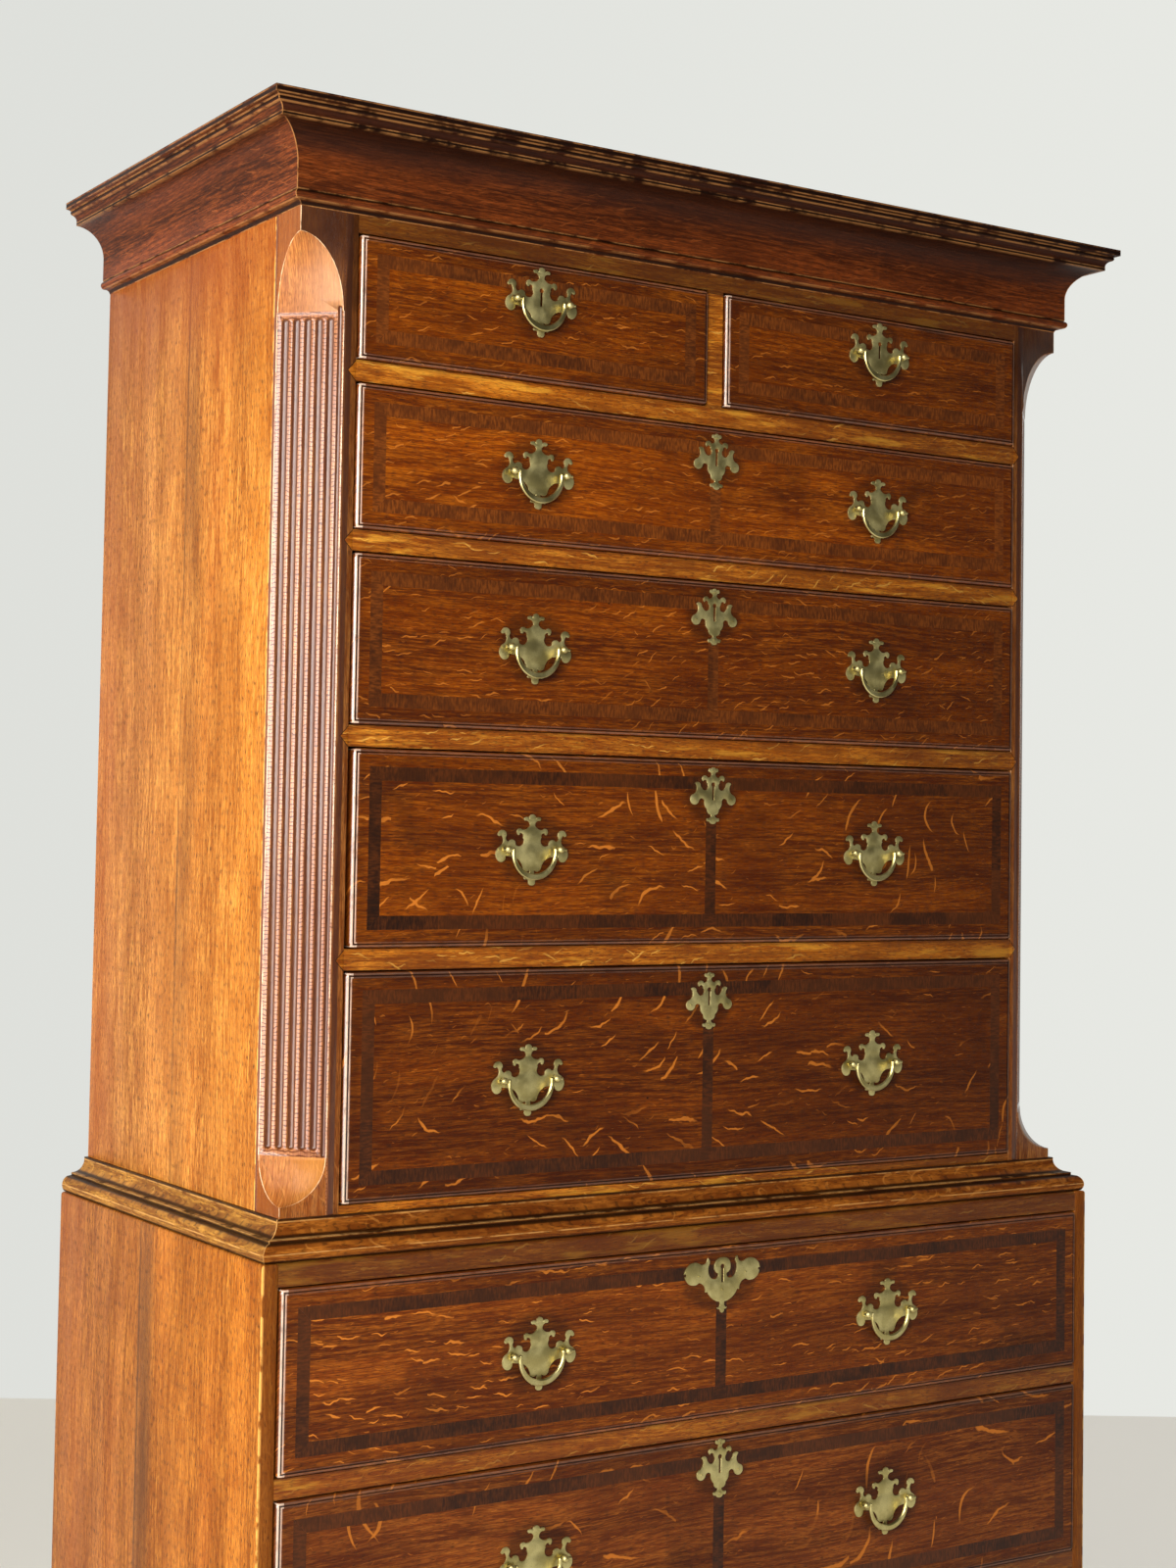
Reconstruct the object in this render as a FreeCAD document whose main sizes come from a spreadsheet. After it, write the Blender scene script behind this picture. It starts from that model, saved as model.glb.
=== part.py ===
import FreeCAD, Part
import math
import os
import re
import Sketcher
from FreeCAD import Placement, Rotation, Vector

# Chest on chest in quarter-sawn oak: two carcasses, one on the other, nine drawers with
# crossbanded fronts, pierced brass handles with swinging bails, and canted, fluted corners.
# Millimetres, +Z up; the front faces -Y.  The origin is on the floor, under the middle.

doc = FreeCAD.newDocument("chest_on_chest")

# ---------------------------------------------------------------- driving sizes
SIZES = [
    ("lower_width", 1080, "lower carcass, side to side"),
    ("case_depth", 535, "lower carcass, front to back"),
    ("waist_step", 31, "how far the upper carcass stands in from the lower one"),
    ("foot_height", 118, "bracket feet, up to the lower carcass"),
    ("side_thickness", 17, "carcass sides"),
    ("board_thickness", 18, "tops and bottoms"),
    ("back_thickness", 10, "back boards"),
    ("back_boards", 5, "back boards in each carcass"),
    ("board_joint", 0.6, "open joint between two back boards"),
    ("edge_wear", 3.5, "round of the lower carcass's top edge"),
    ("rail_depth", 60, "drawer rails, front to back"),
    ("frieze_thickness", 24, "board behind the cornice"),
    ("cornice_rise", 99, "cornice, from its lower edge to the top"),
    ("cornice_hollow", 12, "carcass top below the cornice's top"),
    ("frieze_height", 18, "plain rail between the cornice and the short drawers"),
    ("short_height", 129, "opening of the short drawers"),
    ("long_one_height", 150, "opening of the first long drawer"),
    ("long_two_height", 175, "opening of the second long drawer"),
    ("long_three_height", 202, "opening of the third long drawer"),
    ("long_four_height", 232, "opening of the fourth long drawer"),
    ("upper_rail", 21.5, "rails between the upper drawers"),
    ("upper_foot_rail", 46, "rail under the upper drawers"),
    ("divider_width", 20, "upright between the short drawers"),
    ("lower_head_rail", 22, "rail over the lower drawers"),
    ("low_one_height", 182, "opening of the first lower drawer"),
    ("low_two_height", 198, "opening of the second lower drawer"),
    ("low_three_height", 214, "opening of the third lower drawer"),
    ("lower_rail", 20, "rails between the lower drawers"),
    ("lower_foot_rail", 34, "rail under the lower drawers"),
    ("runner_reach", 26, "runner beyond the side of its opening, under a drawer"),
    ("guide_height", 22, "guide strips above their runner"),
    ("kicker_height", 20, "strips that keep the short drawers level"),
    ("cant_width", 50, "canted corner, measured along the front and along the side"),
    ("corner_flat", 15, "plain strip between the canted face and the drawers"),
    ("corner_tail", 6, "plain strip between the canted face and the side board"),
    ("tongue_head", 74.5, "upper lamb's tongue stop, top to bottom"),
    ("tongue_toe", 45.5, "lower lamb's tongue stop, top to bottom"),
    ("tongue_top_gap", 25, "square corner between the cornice and the upper stop"),
    ("tongue_foot_gap", 48.5, "square corner below the lower stop"),
    ("flute_count", 5, "flutes on each canted face"),
    ("flute_pitch", 11.9, "flute to flute"),
    ("flute_radius", 4.4, "hollow of a flute"),
    ("flute_width", 8.3, "flute, edge to edge"),
    ("flute_shift", 2.5, "middle flute to the middle of the canted face, towards the side"),
    ("flute_stop_gap", 5.5, "plain wood between a stop and the flutes"),
    ("stop_step", 0.5, "fluted face below the face of the stops"),
    ("quirk_radius", 2.5, "round groove between the flutes and the front"),
    ("quirk_offset", 31.4, "that groove to the middle of the canted face"),
    ("quirk_rise", 5.5, "that groove above the lower edge of the upper stop"),
    ("drawer_gap", 1.5, "drawer front to its opening, at the sides and above"),
    ("drawer_lift", 0.8, "drawer front above the rail under it"),
    ("worn_gap", 3, "extra gap beside the third long drawer"),
    ("front_thickness", 22, "drawer front behind the carcass face"),
    ("front_proud", 4.5, "field of a drawer front before the carcass face"),
    ("field_step", 1.2, "field before the rounded edge"),
    ("edge_width", 6, "rounded edge round a drawer front"),
    ("edge_radius", 3, "round of that edge"),
    ("corner_radius", 5, "worn corners of a drawer front"),
    ("drawer_side", 10, "drawer sides"),
    ("drawer_back", 9, "drawer back"),
    ("drawer_bottom", 7, "drawer bottom"),
    ("bottom_rise", 9, "drawer bottom above the lower edge of the sides"),
    ("side_drop", 8, "drawer sides below the top of their opening"),
    ("back_drop", 16, "drawer back below the top of the sides"),
    ("drawer_play", 12, "free space behind a drawer"),
    ("stop_height", 6, "drawer stops on the rails"),
    ("stop_length", 40, "drawer stops, along the front"),
    ("stop_depth", 14, "drawer stops, front to back"),
    ("stop_inset", 90, "drawer stop to the side of its opening"),
    ("band_inset", 18, "edge of a drawer front to its crossbanding"),
    ("band_width", 14, "crossbanding"),
    ("band_depth", 1.2, "thickness of the crossbanding"),
    ("band_joint", 0.1, "open joint between two strips of crossbanding"),
    ("handle_spread", 230, "handle to the middle of the chest"),
    ("short_handle_rise", 21, "handle above the middle of a short drawer"),
    ("key_drop", 40, "keyhole plate below the top of an upper opening"),
    ("low_key_drop", 34, "keyhole plate below the top of a lower opening"),
    ("plate_thickness", 1.5, "brass plates"),
    ("plate_width", 88, "handle plate, tip to tip"),
    ("plate_height", 74, "handle plate, tip to tip"),
    ("key_plate_width", 60, "keyhole plate, tip to tip"),
    ("key_plate_height", 62, "keyhole plate, tip to tip"),
    ("eared_plate_width", 100, "keyhole plate with round ears, ear to ear"),
    ("eared_plate_height", 59, "keyhole plate with round ears, top to tail"),
    ("post_spacing", 64, "the two posts of a handle"),
    ("post_reach", 5.2, "bail pin before its plate"),
    ("post_head", 3.8, "radius of a post's ball"),
    ("post_stem", 2.4, "radius of a post's stem"),
    ("post_hole", 2.7, "radius of the hole for a stem"),
    ("nut_width", 11, "nuts inside the drawer"),
    ("nut_thickness", 3, "nuts inside the drawer"),
    ("stem_tail", 2, "stem beyond its nut"),
    ("pin_radius", 1.6, "bail pins"),
    ("pin_clearance", 0.08, "bail pin to its hole in the post"),
    ("pin_tail", 3, "bail pin beyond the post's ball"),
    ("bail_gap", 0.6, "bail arm to the post's ball"),
    ("bail_arm", 3.8, "thickness of a bail at its arms"),
    ("bail_belly", 6.4, "height of a bail at its middle"),
    ("bail_drop", 31.7, "bail, from its pins to its lowest point"),
    ("bail_chamfer", 1, "bevel along a bail"),
    ("keyhole_radius", 2.6, "round of a keyhole"),
    ("keyhole_slot", 2.8, "width of a keyhole's slot"),
    ("keyhole_drop", 17, "round of a keyhole to the end of its slot"),
    ("keyhole_rise", 12, "round of a keyhole above the middle of its plate"),
    ("nail_radius", 1.5, "head of a plate's nail"),
    ("nail_head", 1, "height of a nail's head"),
    ("lock_width", 52, "lock case"),
    ("lock_height", 46, "lock case"),
    ("lock_thickness", 11, "lock case, let into the back of the front"),
    ("lock_margin", 6, "lock case below the top of its opening"),
    ("cove_foot", 9, "cornice at the foot of its cove"),
    ("cove_radius", 34, "cove of the cornice"),
    ("cornice_reach", 56, "cornice at its top"),
    ("cornice_bead", 4.5, "radius of the bead at the cornice's foot"),
    ("cornice_fillet", 3.5, "flat over the cove of the cornice"),
    ("waist_rise", 38, "waist moulding, top to bottom"),
    ("waist_reach", 30, "waist moulding at its round"),
    ("waist_lip", 4, "waist moulding at its top"),
    ("waist_cove", 14, "hollow of the waist moulding"),
    ("waist_nose", 8.4, "radius of the round of the waist moulding"),
    ("waist_fillet", 3, "flat under the hollow of the waist moulding"),
    ("seam_gap", 0.6, "open seam under the waist moulding"),
    ("base_rise", 26, "base moulding, top to bottom"),
    ("base_reach", 14, "base moulding at its foot"),
    ("foot_length", 190, "bracket foot along the front"),
    ("foot_side_length", 165, "bracket foot along the side"),
    ("foot_thickness", 20, "bracket feet"),
    ("foot_set_back", 4, "bracket feet behind the face of the base moulding"),
    ("foot_ankle", 88, "bracket foot where it stands"),
    ("foot_apron", 22, "bracket foot at its inner end"),
    ("block_width", 42, "glue blocks behind the feet"),
    ("block_clear", 14, "glue blocks above the floor"),
]

# Places and sizes that follow from the driving ones.
PLACES = [
    ("upper_width", "lower_width - 2 * waist_step"),
    ("upper_half", "upper_width / 2"),
    ("lower_half", "lower_width / 2"),
    ("lower_front", "(cornice_reach - waist_step - case_depth) / 2"),
    ("upper_front", "lower_front + waist_step"),
    ("rear", "lower_front + case_depth"),
    ("back_face", "rear - back_thickness"),
    ("upper_depth", "case_depth - waist_step"),
    ("low_three_base", "foot_height + lower_foot_rail"),
    ("low_two_base", "low_three_base + low_three_height + lower_rail"),
    ("low_one_base", "low_two_base + low_two_height + lower_rail"),
    ("seam", "low_one_base + low_one_height + lower_head_rail"),
    ("long_four_base", "seam + upper_foot_rail"),
    ("long_three_base", "long_four_base + long_four_height + upper_rail"),
    ("long_two_base", "long_three_base + long_three_height + upper_rail"),
    ("long_one_base", "long_two_base + long_two_height + upper_rail"),
    ("short_base", "long_one_base + long_one_height + upper_rail"),
    ("frieze_base", "short_base + short_height"),
    ("cornice_base", "frieze_base + frieze_height"),
    ("top", "cornice_base + cornice_rise"),
    ("case_top", "top - cornice_hollow"),
    ("upper_rise", "case_top - seam"),
    ("post_width", "cant_width + corner_flat"),
    ("post_depth", "cant_width + corner_tail"),
    ("opening_half", "upper_half - post_width"),
    ("upper_inside", "upper_half - side_thickness"),
    ("lower_inside", "lower_half - side_thickness"),
    ("short_half", "(opening_half - divider_width / 2) / 2"),
    ("short_middle", "opening_half - short_half"),
    ("drawer_face", "front_proud + plate_thickness"),
    ("bail_half", "post_spacing / 2 - post_head - bail_gap"),
    ("pin_end", "post_spacing / 2 + post_head + pin_tail"),
    ("foot_face", "base_reach - foot_set_back"),
    ("flute_out", "sqrt(flute_radius ^ 2 - (flute_width / 2) ^ 2)"),
]

sizes = doc.addObject("Spreadsheet::Sheet", "sizes")
places = doc.addObject("Spreadsheet::Sheet", "places")
DRIVING = [alias for alias, _, _ in SIZES]
DERIVED = [alias for alias, _ in PLACES]


def worded(formula, word_for):
    """A formula with each of the sheets' names put another way."""
    def swap(match):
        word = match.group()
        return word_for(word) if word in DRIVING + DERIVED else word
    return re.sub(r"[a-z][a-z_]*", swap, str(formula))


def linked(formula):
    """The formula as the document reads it, with each name pointing at its cell."""
    return worded(formula, lambda word: ("sizes." if word in DRIVING else "places.") + word)


def number(formula):
    """What a formula comes to."""
    filled = worded(formula, lambda word: "(%r)" % size(word))
    return FreeCAD.Units.parseQuantity(filled).Value


def size(alias):
    """The number in a cell."""
    sheet = sizes if alias in DRIVING else places
    return float(sheet.get(alias))


for row, (alias, amount, note) in enumerate(SIZES, start=1):
    sizes.set("A%d" % row, alias)
    sizes.set("B%d" % row, str(amount))
    sizes.set("C%d" % row, note)
    sizes.setAlias("B%d" % row, alias)
doc.recompute()
for row, (alias, formula) in enumerate(PLACES, start=1):
    places.set("A%d" % row, alias)
    places.set("B%d" % row, "=" + linked(formula).replace("places.", ""))
    places.setAlias("B%d" % row, alias)
doc.recompute()


# ---------------------------------------------------------------- ways of making pieces
nodes = []


def node(label, pieces):
    """One named sub-part: a group of separate solids."""
    group = doc.addObject("Part::Compound", label)
    group.Label = label
    group.Links = pieces
    nodes.append(group)


def place(piece, x, y, z):
    """Bind a piece's place to the sheets."""
    for axis, formula in zip("xyz", (x, y, z)):
        piece.setExpression("Placement.Base." + axis, linked(formula))
    return piece


def board(name, start, extent):
    """A plain sawn board, from its lowest corner."""
    box = doc.addObject("Part::Box", name)
    for side, formula in zip(("Length", "Width", "Height"), extent):
        box.setExpression(side, linked(formula))
    return place(box, *start)


def pair(name, start, extent):
    """The same board on the right and on the left."""
    x, y, z = start
    right = board(name + "_right", start, extent)
    left = board(name + "_left", ("-(%s) - (%s)" % (x, extent[0]), y, z), extent)
    return [right, left]


def copy_of(piece, name, x, y, z):
    """The same casting again, somewhere else."""
    again = doc.addObject("App::Link", name)
    again.LinkedObject = piece
    return place(again, x, y, z)


def mirrored(piece):
    """A right-hand piece made again for the left."""
    other = doc.addObject("Part::Mirroring", piece.Name + "_left")
    other.Source = piece
    other.Normal = Vector(1, 0, 0)
    return other


def body(name, x=0, y=0, z=0):
    return place(doc.addObject("PartDesign::Body", name), x, y, z)


def sketch_on(owner, role, name, offset=0, turn=0):
    """An empty sketch on an origin plane, turned upright and moved out along its normal."""
    sketch = owner.newObject("Sketcher::SketchObject", name)
    plane = [part for part in owner.Origin.OriginFeatures if part.Role == role]
    sketch.AttachmentSupport = [(plane[0], "")]
    sketch.MapMode = "FlatFace"
    sketch.AttachmentOffset = Placement(Vector(0, 0, 0), Rotation(Vector(0, 1, 0), turn))
    for axis, share in (("x", "sin"), ("z", "cos")):
        sketch.setExpression(
            "AttachmentOffset.Base." + axis,
            "(%s) * %s(%d deg)" % (linked(offset), share, turn))
    return sketch


def tie(sketch, shape, point, x, y):
    """Hold one point of a sketch at a place from the sheets."""
    for kind, axis, formula in (("DistanceX", -2, x), ("DistanceY", -1, y)):
        amount = number(formula)
        if abs(amount) < 1e-9:
            sketch.addConstraint(Sketcher.Constraint("PointOnObject", shape, point, axis))
            continue
        rule = Sketcher.Constraint(kind, -1, 1, shape, point, amount)
        index = sketch.addConstraint(rule)
        sketch.setExpression("Constraints[%d]" % index, linked(formula))


def outline(sketch, corners):
    """A closed outline of straight lines, its corners given as formulas."""
    spots = [Vector(number(x), number(y), 0) for x, y in corners]
    first = len(sketch.Geometry)
    count = len(spots)
    for index, spot in enumerate(spots):
        sketch.addGeometry(Part.LineSegment(spot, spots[(index + 1) % count]))
    for index, (x, y) in enumerate(corners):
        before = first + (index - 1) % count
        sketch.addConstraint(
            Sketcher.Constraint("Coincident", before, 2, first + index, 1))
        tie(sketch, first + index, 1, x, y)


def rectangle(sketch, left, low, right, high):
    outline(sketch, [(left, low), (right, low), (right, high), (left, high)])


def circle(sketch, x, y, radius):
    spot = Vector(number(x), number(y), 0)
    index = sketch.addGeometry(Part.Circle(spot, Vector(0, 0, 1), number(radius)))
    rule = sketch.addConstraint(Sketcher.Constraint("Radius", index, number(radius)))
    sketch.setExpression("Constraints[%d]" % rule, linked(radius))
    tie(sketch, index, 3, x, y)


def curve(sketch, points):
    """A closed outline in numbers: a plain point ends a line, a pair of points an arc."""
    here = points[0]
    for item in points[1:]:
        if isinstance(item[0], tuple):
            middle, end = item
            sketch.addGeometry(Part.Arc(Vector(*here), Vector(*middle), Vector(*end)))
        else:
            end = item
            sketch.addGeometry(Part.LineSegment(Vector(*here), Vector(*end)))
        here = end
    if here != points[0]:
        sketch.addGeometry(Part.LineSegment(Vector(*here), Vector(*points[0])))


def both_sides(half):
    """An outline of arcs made whole from its right half, top to bottom, by mirroring."""
    def flip(spot):
        return (-spot[0], spot[1])
    whole = list(half)
    ends = [item if not isinstance(item[0], tuple) else item[1] for item in half]
    for index in range(len(half) - 1, 0, -1):
        item = half[index]
        back_to = flip(ends[index - 1])
        if isinstance(item[0], tuple):
            whole.append((flip(item[0]), back_to))
        else:
            whole.append(back_to)
    return whole


def scaled(points, wide, high):
    """An outline stretched to its size."""
    def stretch(spot):
        return (spot[0] * wide, spot[1] * high)
    return [
        (stretch(item[0]), stretch(item[1])) if isinstance(item[0], tuple) else stretch(item)
        for item in points
    ]


def pad(sketch, length, back=False):
    feature = sketch.getParentGeoFeatureGroup().newObject("PartDesign::Pad", sketch.Name + "_pad")
    feature.Profile = sketch
    feature.setExpression("Length", linked(length))
    feature.Reversed = back
    return feature


def pocket(sketch, depth, back=False, middle=False):
    owner = sketch.getParentGeoFeatureGroup()
    feature = owner.newObject("PartDesign::Pocket", sketch.Name + "_pocket")
    feature.Profile = sketch
    feature.setExpression("Length", linked(depth))
    feature.Reversed = back
    if middle:
        feature.SideType = "Symmetric"
    return feature


def dress(kind, base, chosen, prop, formula):
    """A fillet or chamfer on the edges that a test picks."""
    doc.recompute()
    names = [
        "Edge%d" % (index + 1)
        for index, edge in enumerate(base.Shape.Edges) if chosen(edge)
    ]
    owner = base.getParentGeoFeatureGroup()
    feature = owner.newObject("PartDesign::" + kind, base.Name + "_" + kind.lower())
    feature.Base = (base, names)
    feature.setExpression(prop, linked(formula))
    return feature


def near(value, target):
    return abs(value - target) < 1e-4


# ---------------------------------------------------------------- lower carcass
lower_rise = "seam - foot_height"


def case_side(name, half, front, low, depth, rise, wear=None):
    """The right-hand side board, its outer top edge worn round where it shows."""
    side = body(name, "%s - side_thickness" % half, front, low)
    sketch = sketch_on(side, "XY_Plane", name + "_plan")
    rectangle(sketch, 0, 0, "side_thickness", depth)
    raised = pad(sketch, rise)
    if wear:
        def outer_top(edge):
            box = edge.BoundBox
            return near(box.ZMin, number(rise)) and near(box.XMin, size("side_thickness"))
        dress("Fillet", raised, outer_top, "Radius", wear)
    return side


lower_side = case_side(
    "lower_side", "lower_half", "lower_front", "foot_height", "case_depth", lower_rise,
    "edge_wear")
node("lower_sides", [lower_side, mirrored(lower_side)])

lower_span = "2 * lower_inside"
node("lower_top", [board(
    "lower_top_board",
    ("-lower_inside", "lower_front + rail_depth", "seam - board_thickness"),
    (lower_span, "back_face - lower_front - rail_depth", "board_thickness"))])
node("lower_bottom", [board(
    "lower_bottom_board",
    ("-lower_inside", "lower_front + rail_depth", "foot_height"),
    (lower_span, "back_face - lower_front - rail_depth", "board_thickness"))])


def back_boards(name, inside, low, rise):
    """Upright boards, side by side, between the sides."""
    count = int(size("back_boards"))
    pitch = "(2 * %s + board_joint) / back_boards" % inside
    return [
        board(
            "%s_%d" % (name, index + 1),
            ("-%s + %d * %s" % (inside, index, pitch), "back_face", low),
            ("%s - board_joint" % pitch, "back_thickness", rise))
        for index in range(count)
    ]


node("lower_back", back_boards("lower_back_board", "lower_inside", "foot_height", lower_rise))

head_rail = body("lower_head", 0, "lower_front", "seam - lower_head_rail")
head_plan = sketch_on(head_rail, "XY_Plane", "lower_head_plan")
rectangle(head_plan, "-lower_inside", 0, "lower_inside", "rail_depth")
head_solid = pad(head_plan, "lower_head_rail")
dress(
    "Fillet", head_solid,
    lambda edge: near(edge.BoundBox.YMax, 0) and near(edge.BoundBox.ZMin, size("lower_head_rail")),
    "Radius", "edge_wear")


def rail(name, half, front, low, rise):
    return board(
        name, ("-(%s)" % half, front, low), ("2 * (%s)" % half, "rail_depth", rise))


node("lower_rails", [
    head_rail,
    rail("low_one_rail", "lower_inside", "lower_front", "low_one_base - lower_rail", "lower_rail"),
    rail("low_two_rail", "lower_inside", "lower_front", "low_two_base - lower_rail", "lower_rail"),
    rail("low_foot_rail", "lower_inside", "lower_front", "foot_height", "lower_foot_rail"),
])


def stops(name, front, base, from_middle):
    """Two blocks on a rail, which the back of a drawer front closes against."""
    return pair(
        name + "_stop",
        ("%s - stop_length / 2" % from_middle, "%s + front_thickness" % front, base),
        ("stop_length", "stop_depth", "stop_height"))


def runners(name, inside, half, front, base, thickness):
    """A bearer along each side, level with the rail."""
    start = "%s + rail_depth" % front
    return pair(
        name + "_runner",
        ("%s - runner_reach" % half, start, "%s - (%s)" % (base, thickness)),
        ("%s - %s + runner_reach" % (inside, half), "back_face - (%s)" % start, thickness))


LOWER_DRAWERS = [
    ("low_one", "lower_rail"),
    ("low_two", "lower_rail"),
    ("low_three", "lower_foot_rail - board_thickness"),
]
lower_bearers = []
for name, thickness in LOWER_DRAWERS:
    base = name + "_base"
    lower_bearers += runners(
        name, "lower_inside", "lower_inside", "lower_front", base, thickness)
    lower_bearers += stops(name, "lower_front", base, "(lower_inside - stop_inset)")
node("lower_runners", lower_bearers)


# ---------------------------------------------------------------- mouldings
def moulding(name, profile, half, front, base, reach, depth):
    """Three lengths of one section, mitred at the front corners of a case."""
    ahead = body(name + "_front", 0, front, base)
    section = sketch_on(
        ahead, "YZ_Plane", name + "_front_section", "-(%s + %s)" % (half, reach))
    curve(section, scaled(profile, -1, 1))
    pad(section, "2 * (%s + %s)" % (half, reach))
    mitres = sketch_on(ahead, "XY_Plane", name + "_front_mitres", "-top")
    for sign in ("", "-"):
        outline(mitres, [
            ("%s(%s)" % (sign, half), "0"),
            ("%s(%s + %s + 1)" % (sign, half, reach), "0"),
            ("%s(%s + %s + 1)" % (sign, half, reach), "-(%s + 1)" % reach)])
    pocket(mitres, "2 * top", back=True)

    beside = body(name + "_side", 0, front, base)
    section = sketch_on(beside, "XZ_Plane", name + "_side_section", reach)
    out = number(half)

    def shift(spot):
        return (spot[0] + out, spot[1])
    curve(section, [
        (shift(item[0]), shift(item[1])) if isinstance(item[0], tuple) else shift(item)
        for item in profile
    ])
    pad(section, "%s + %s" % (depth, reach), back=True)
    mitre = sketch_on(beside, "XY_Plane", name + "_side_mitre", "-top")
    outline(mitre, [
        (half, "0"),
        (half, "-(%s + 1)" % reach),
        ("%s + %s + 1" % (half, reach), "-(%s + 1)" % reach)])
    pocket(mitre, "2 * top", back=True)
    return [ahead, beside, mirrored(beside)]


rise = size("base_rise")
reach = size("base_reach")
base_profile = [
    (0, 0), (reach, 0), (reach, 0.38 * rise),
    ((0.83 * reach, 0.66 * rise), (0.42 * reach, 0.8 * rise)),
    (0.28 * reach, 0.86 * rise), (0.28 * reach, rise), (0, rise),
]
node("base_moulding", moulding(
    "base", base_profile, "lower_half", "lower_front", "foot_height", "base_reach",
    "case_depth"))


# ---------------------------------------------------------------- bracket feet
def foot_outline(sketch, length):
    """A bracket's shape, seen from outside with its corner on the left."""
    long = number(length)
    high = size("foot_height")
    ankle = size("foot_ankle")
    apron = high - size("foot_apron")
    run = long - ankle
    curve(sketch, [
        (0, 0), (ankle, 0),
        ((ankle + 0.05 * run, 0.32 * high), (ankle + 0.22 * run, 0.56 * high)),
        ((ankle + 0.42 * run, 0.69 * high), (ankle + 0.66 * run, apron - 0.06 * high)),
        (ankle + 0.72 * run, apron), (long, apron), (long, high), (0, high),
    ])


def bracket(name, length, x, y, turned, mitred):
    """One bracket board; along the side it is turned to face outwards."""
    foot = body(name, x, y, 0)
    face = sketch_on(
        foot, "YZ_Plane" if turned else "XZ_Plane", name + "_face", 0, 0 if turned else 180)
    foot_outline(face, length)
    pad(face, "foot_thickness", back=turned)
    if mitred:
        cut = sketch_on(foot, "XY_Plane", name + "_mitre")
        other = ("-foot_thickness - 1", "0") if turned else ("0", "foot_thickness + 1")
        outline(cut, [("0", "0"), other, ("-foot_thickness - 1", "foot_thickness + 1")])
        pocket(cut, "foot_height", back=True)
    return foot


outer_x = "lower_half + foot_face"
outer_y = "lower_front - foot_face"
front_foot = bracket("front_bracket", "foot_length", outer_x, outer_y, False, True)
side_foot = bracket("side_bracket", "foot_side_length", outer_x, outer_y, True, True)
rear_foot = doc.addObject("Part::Mirroring", "rear_bracket")
plain_foot = bracket("plain_bracket", "foot_side_length", outer_x, "-rear", True, False)
rear_foot.Source = plain_foot
rear_foot.Normal = Vector(0, 1, 0)
rear_foot_left = doc.addObject("Part::Mirroring", "rear_bracket_left")
rear_foot_left.Source = rear_foot
rear_foot_left.Normal = Vector(1, 0, 0)
inner_x = "lower_half + foot_face - foot_thickness"
node("bracket_feet", [
    front_foot, mirrored(front_foot), side_foot, mirrored(side_foot),
    rear_foot, rear_foot_left,
] + pair(
    "rear_support", ("%s - foot_ankle" % inner_x, "rear - foot_thickness", 0),
    ("foot_ankle", "foot_thickness", "foot_height")
) + pair(
    "front_block",
    ("%s - block_width" % inner_x, "lower_front - foot_face + foot_thickness", "block_clear"),
    ("block_width", "block_width", "foot_height - block_clear")
) + pair(
    "rear_block",
    ("%s - block_width" % inner_x, "rear - foot_thickness - block_width", "block_clear"),
    ("block_width", "block_width", "foot_height - block_clear")
))


# ---------------------------------------------------------------- upper carcass
upper_side = case_side(
    "upper_side", "upper_half", "upper_front + post_depth", "seam",
    "upper_depth - post_depth", "upper_rise")
node("upper_sides", [upper_side, mirrored(upper_side)])


def notched_board(name, low, front):
    """A board between the sides, cut round the corner posts."""
    plate = body(name, 0, "upper_front", low)
    plan = sketch_on(plate, "XY_Plane", name + "_plan")
    outline(plan, [
        ("-opening_half", front), ("opening_half", front),
        ("opening_half", "post_depth"), ("upper_inside", "post_depth"),
        ("upper_inside", "back_face - upper_front"),
        ("-upper_inside", "back_face - upper_front"),
        ("-upper_inside", "post_depth"), ("-opening_half", "post_depth")])
    pad(plan, "board_thickness")
    return plate


node("upper_top", [
    notched_board("upper_top_board", "case_top - board_thickness", "frieze_thickness")])
node("upper_bottom", [board(
    "upper_bottom_board", ("-upper_inside", "upper_front + rail_depth", "seam"),
    ("2 * upper_inside", "back_face - upper_front - rail_depth", "board_thickness"))])
node("upper_back", back_boards("upper_back_board", "upper_inside", "seam", "upper_rise"))

UPPER_DRAWERS = ["short", "long_one", "long_two", "long_three"]
upper_frame = [
    rail(name + "_rail", "opening_half", "upper_front", name + "_base - upper_rail", "upper_rail")
    for name in UPPER_DRAWERS
]
upper_frame.append(rail(
    "upper_base_rail", "opening_half", "upper_front", "seam", "upper_foot_rail"))
upper_frame.append(board(
    "frieze_rail", ("-opening_half", "upper_front", "frieze_base"),
    ("2 * opening_half", "frieze_thickness", "case_top - frieze_base")))
upper_frame.append(board(
    "short_divider", ("-divider_width / 2", "upper_front", "short_base"),
    ("divider_width", "rail_depth", "short_height")))
node("upper_rails", upper_frame)

behind = "upper_front + rail_depth"
to_back = "back_face - upper_front - rail_depth"
upper_bearers = []
for name in UPPER_DRAWERS + ["long_four"]:
    base = name + "_base"
    lowest = name == "long_four"
    thickness = "upper_foot_rail - board_thickness" if lowest else "upper_rail"
    upper_bearers += runners(
        name, "upper_inside", "opening_half", "upper_front", base, thickness)
    upper_bearers += pair(
        name + "_guide", ("opening_half", behind, base),
        ("upper_inside - opening_half", to_back, "guide_height"))
    if name == "short":
        upper_bearers += stops(name, "upper_front", base, "short_middle")
    else:
        upper_bearers += stops(name, "upper_front", base, "(opening_half - stop_inset)")
upper_bearers.append(board(
    "middle_runner",
    ("-divider_width / 2 - runner_reach", behind, "short_base - upper_rail"),
    ("divider_width + 2 * runner_reach", to_back, "upper_rail")))
upper_bearers.append(board(
    "middle_guide", ("-divider_width / 2", behind, "short_base"),
    ("divider_width", to_back, "guide_height")))
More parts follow.
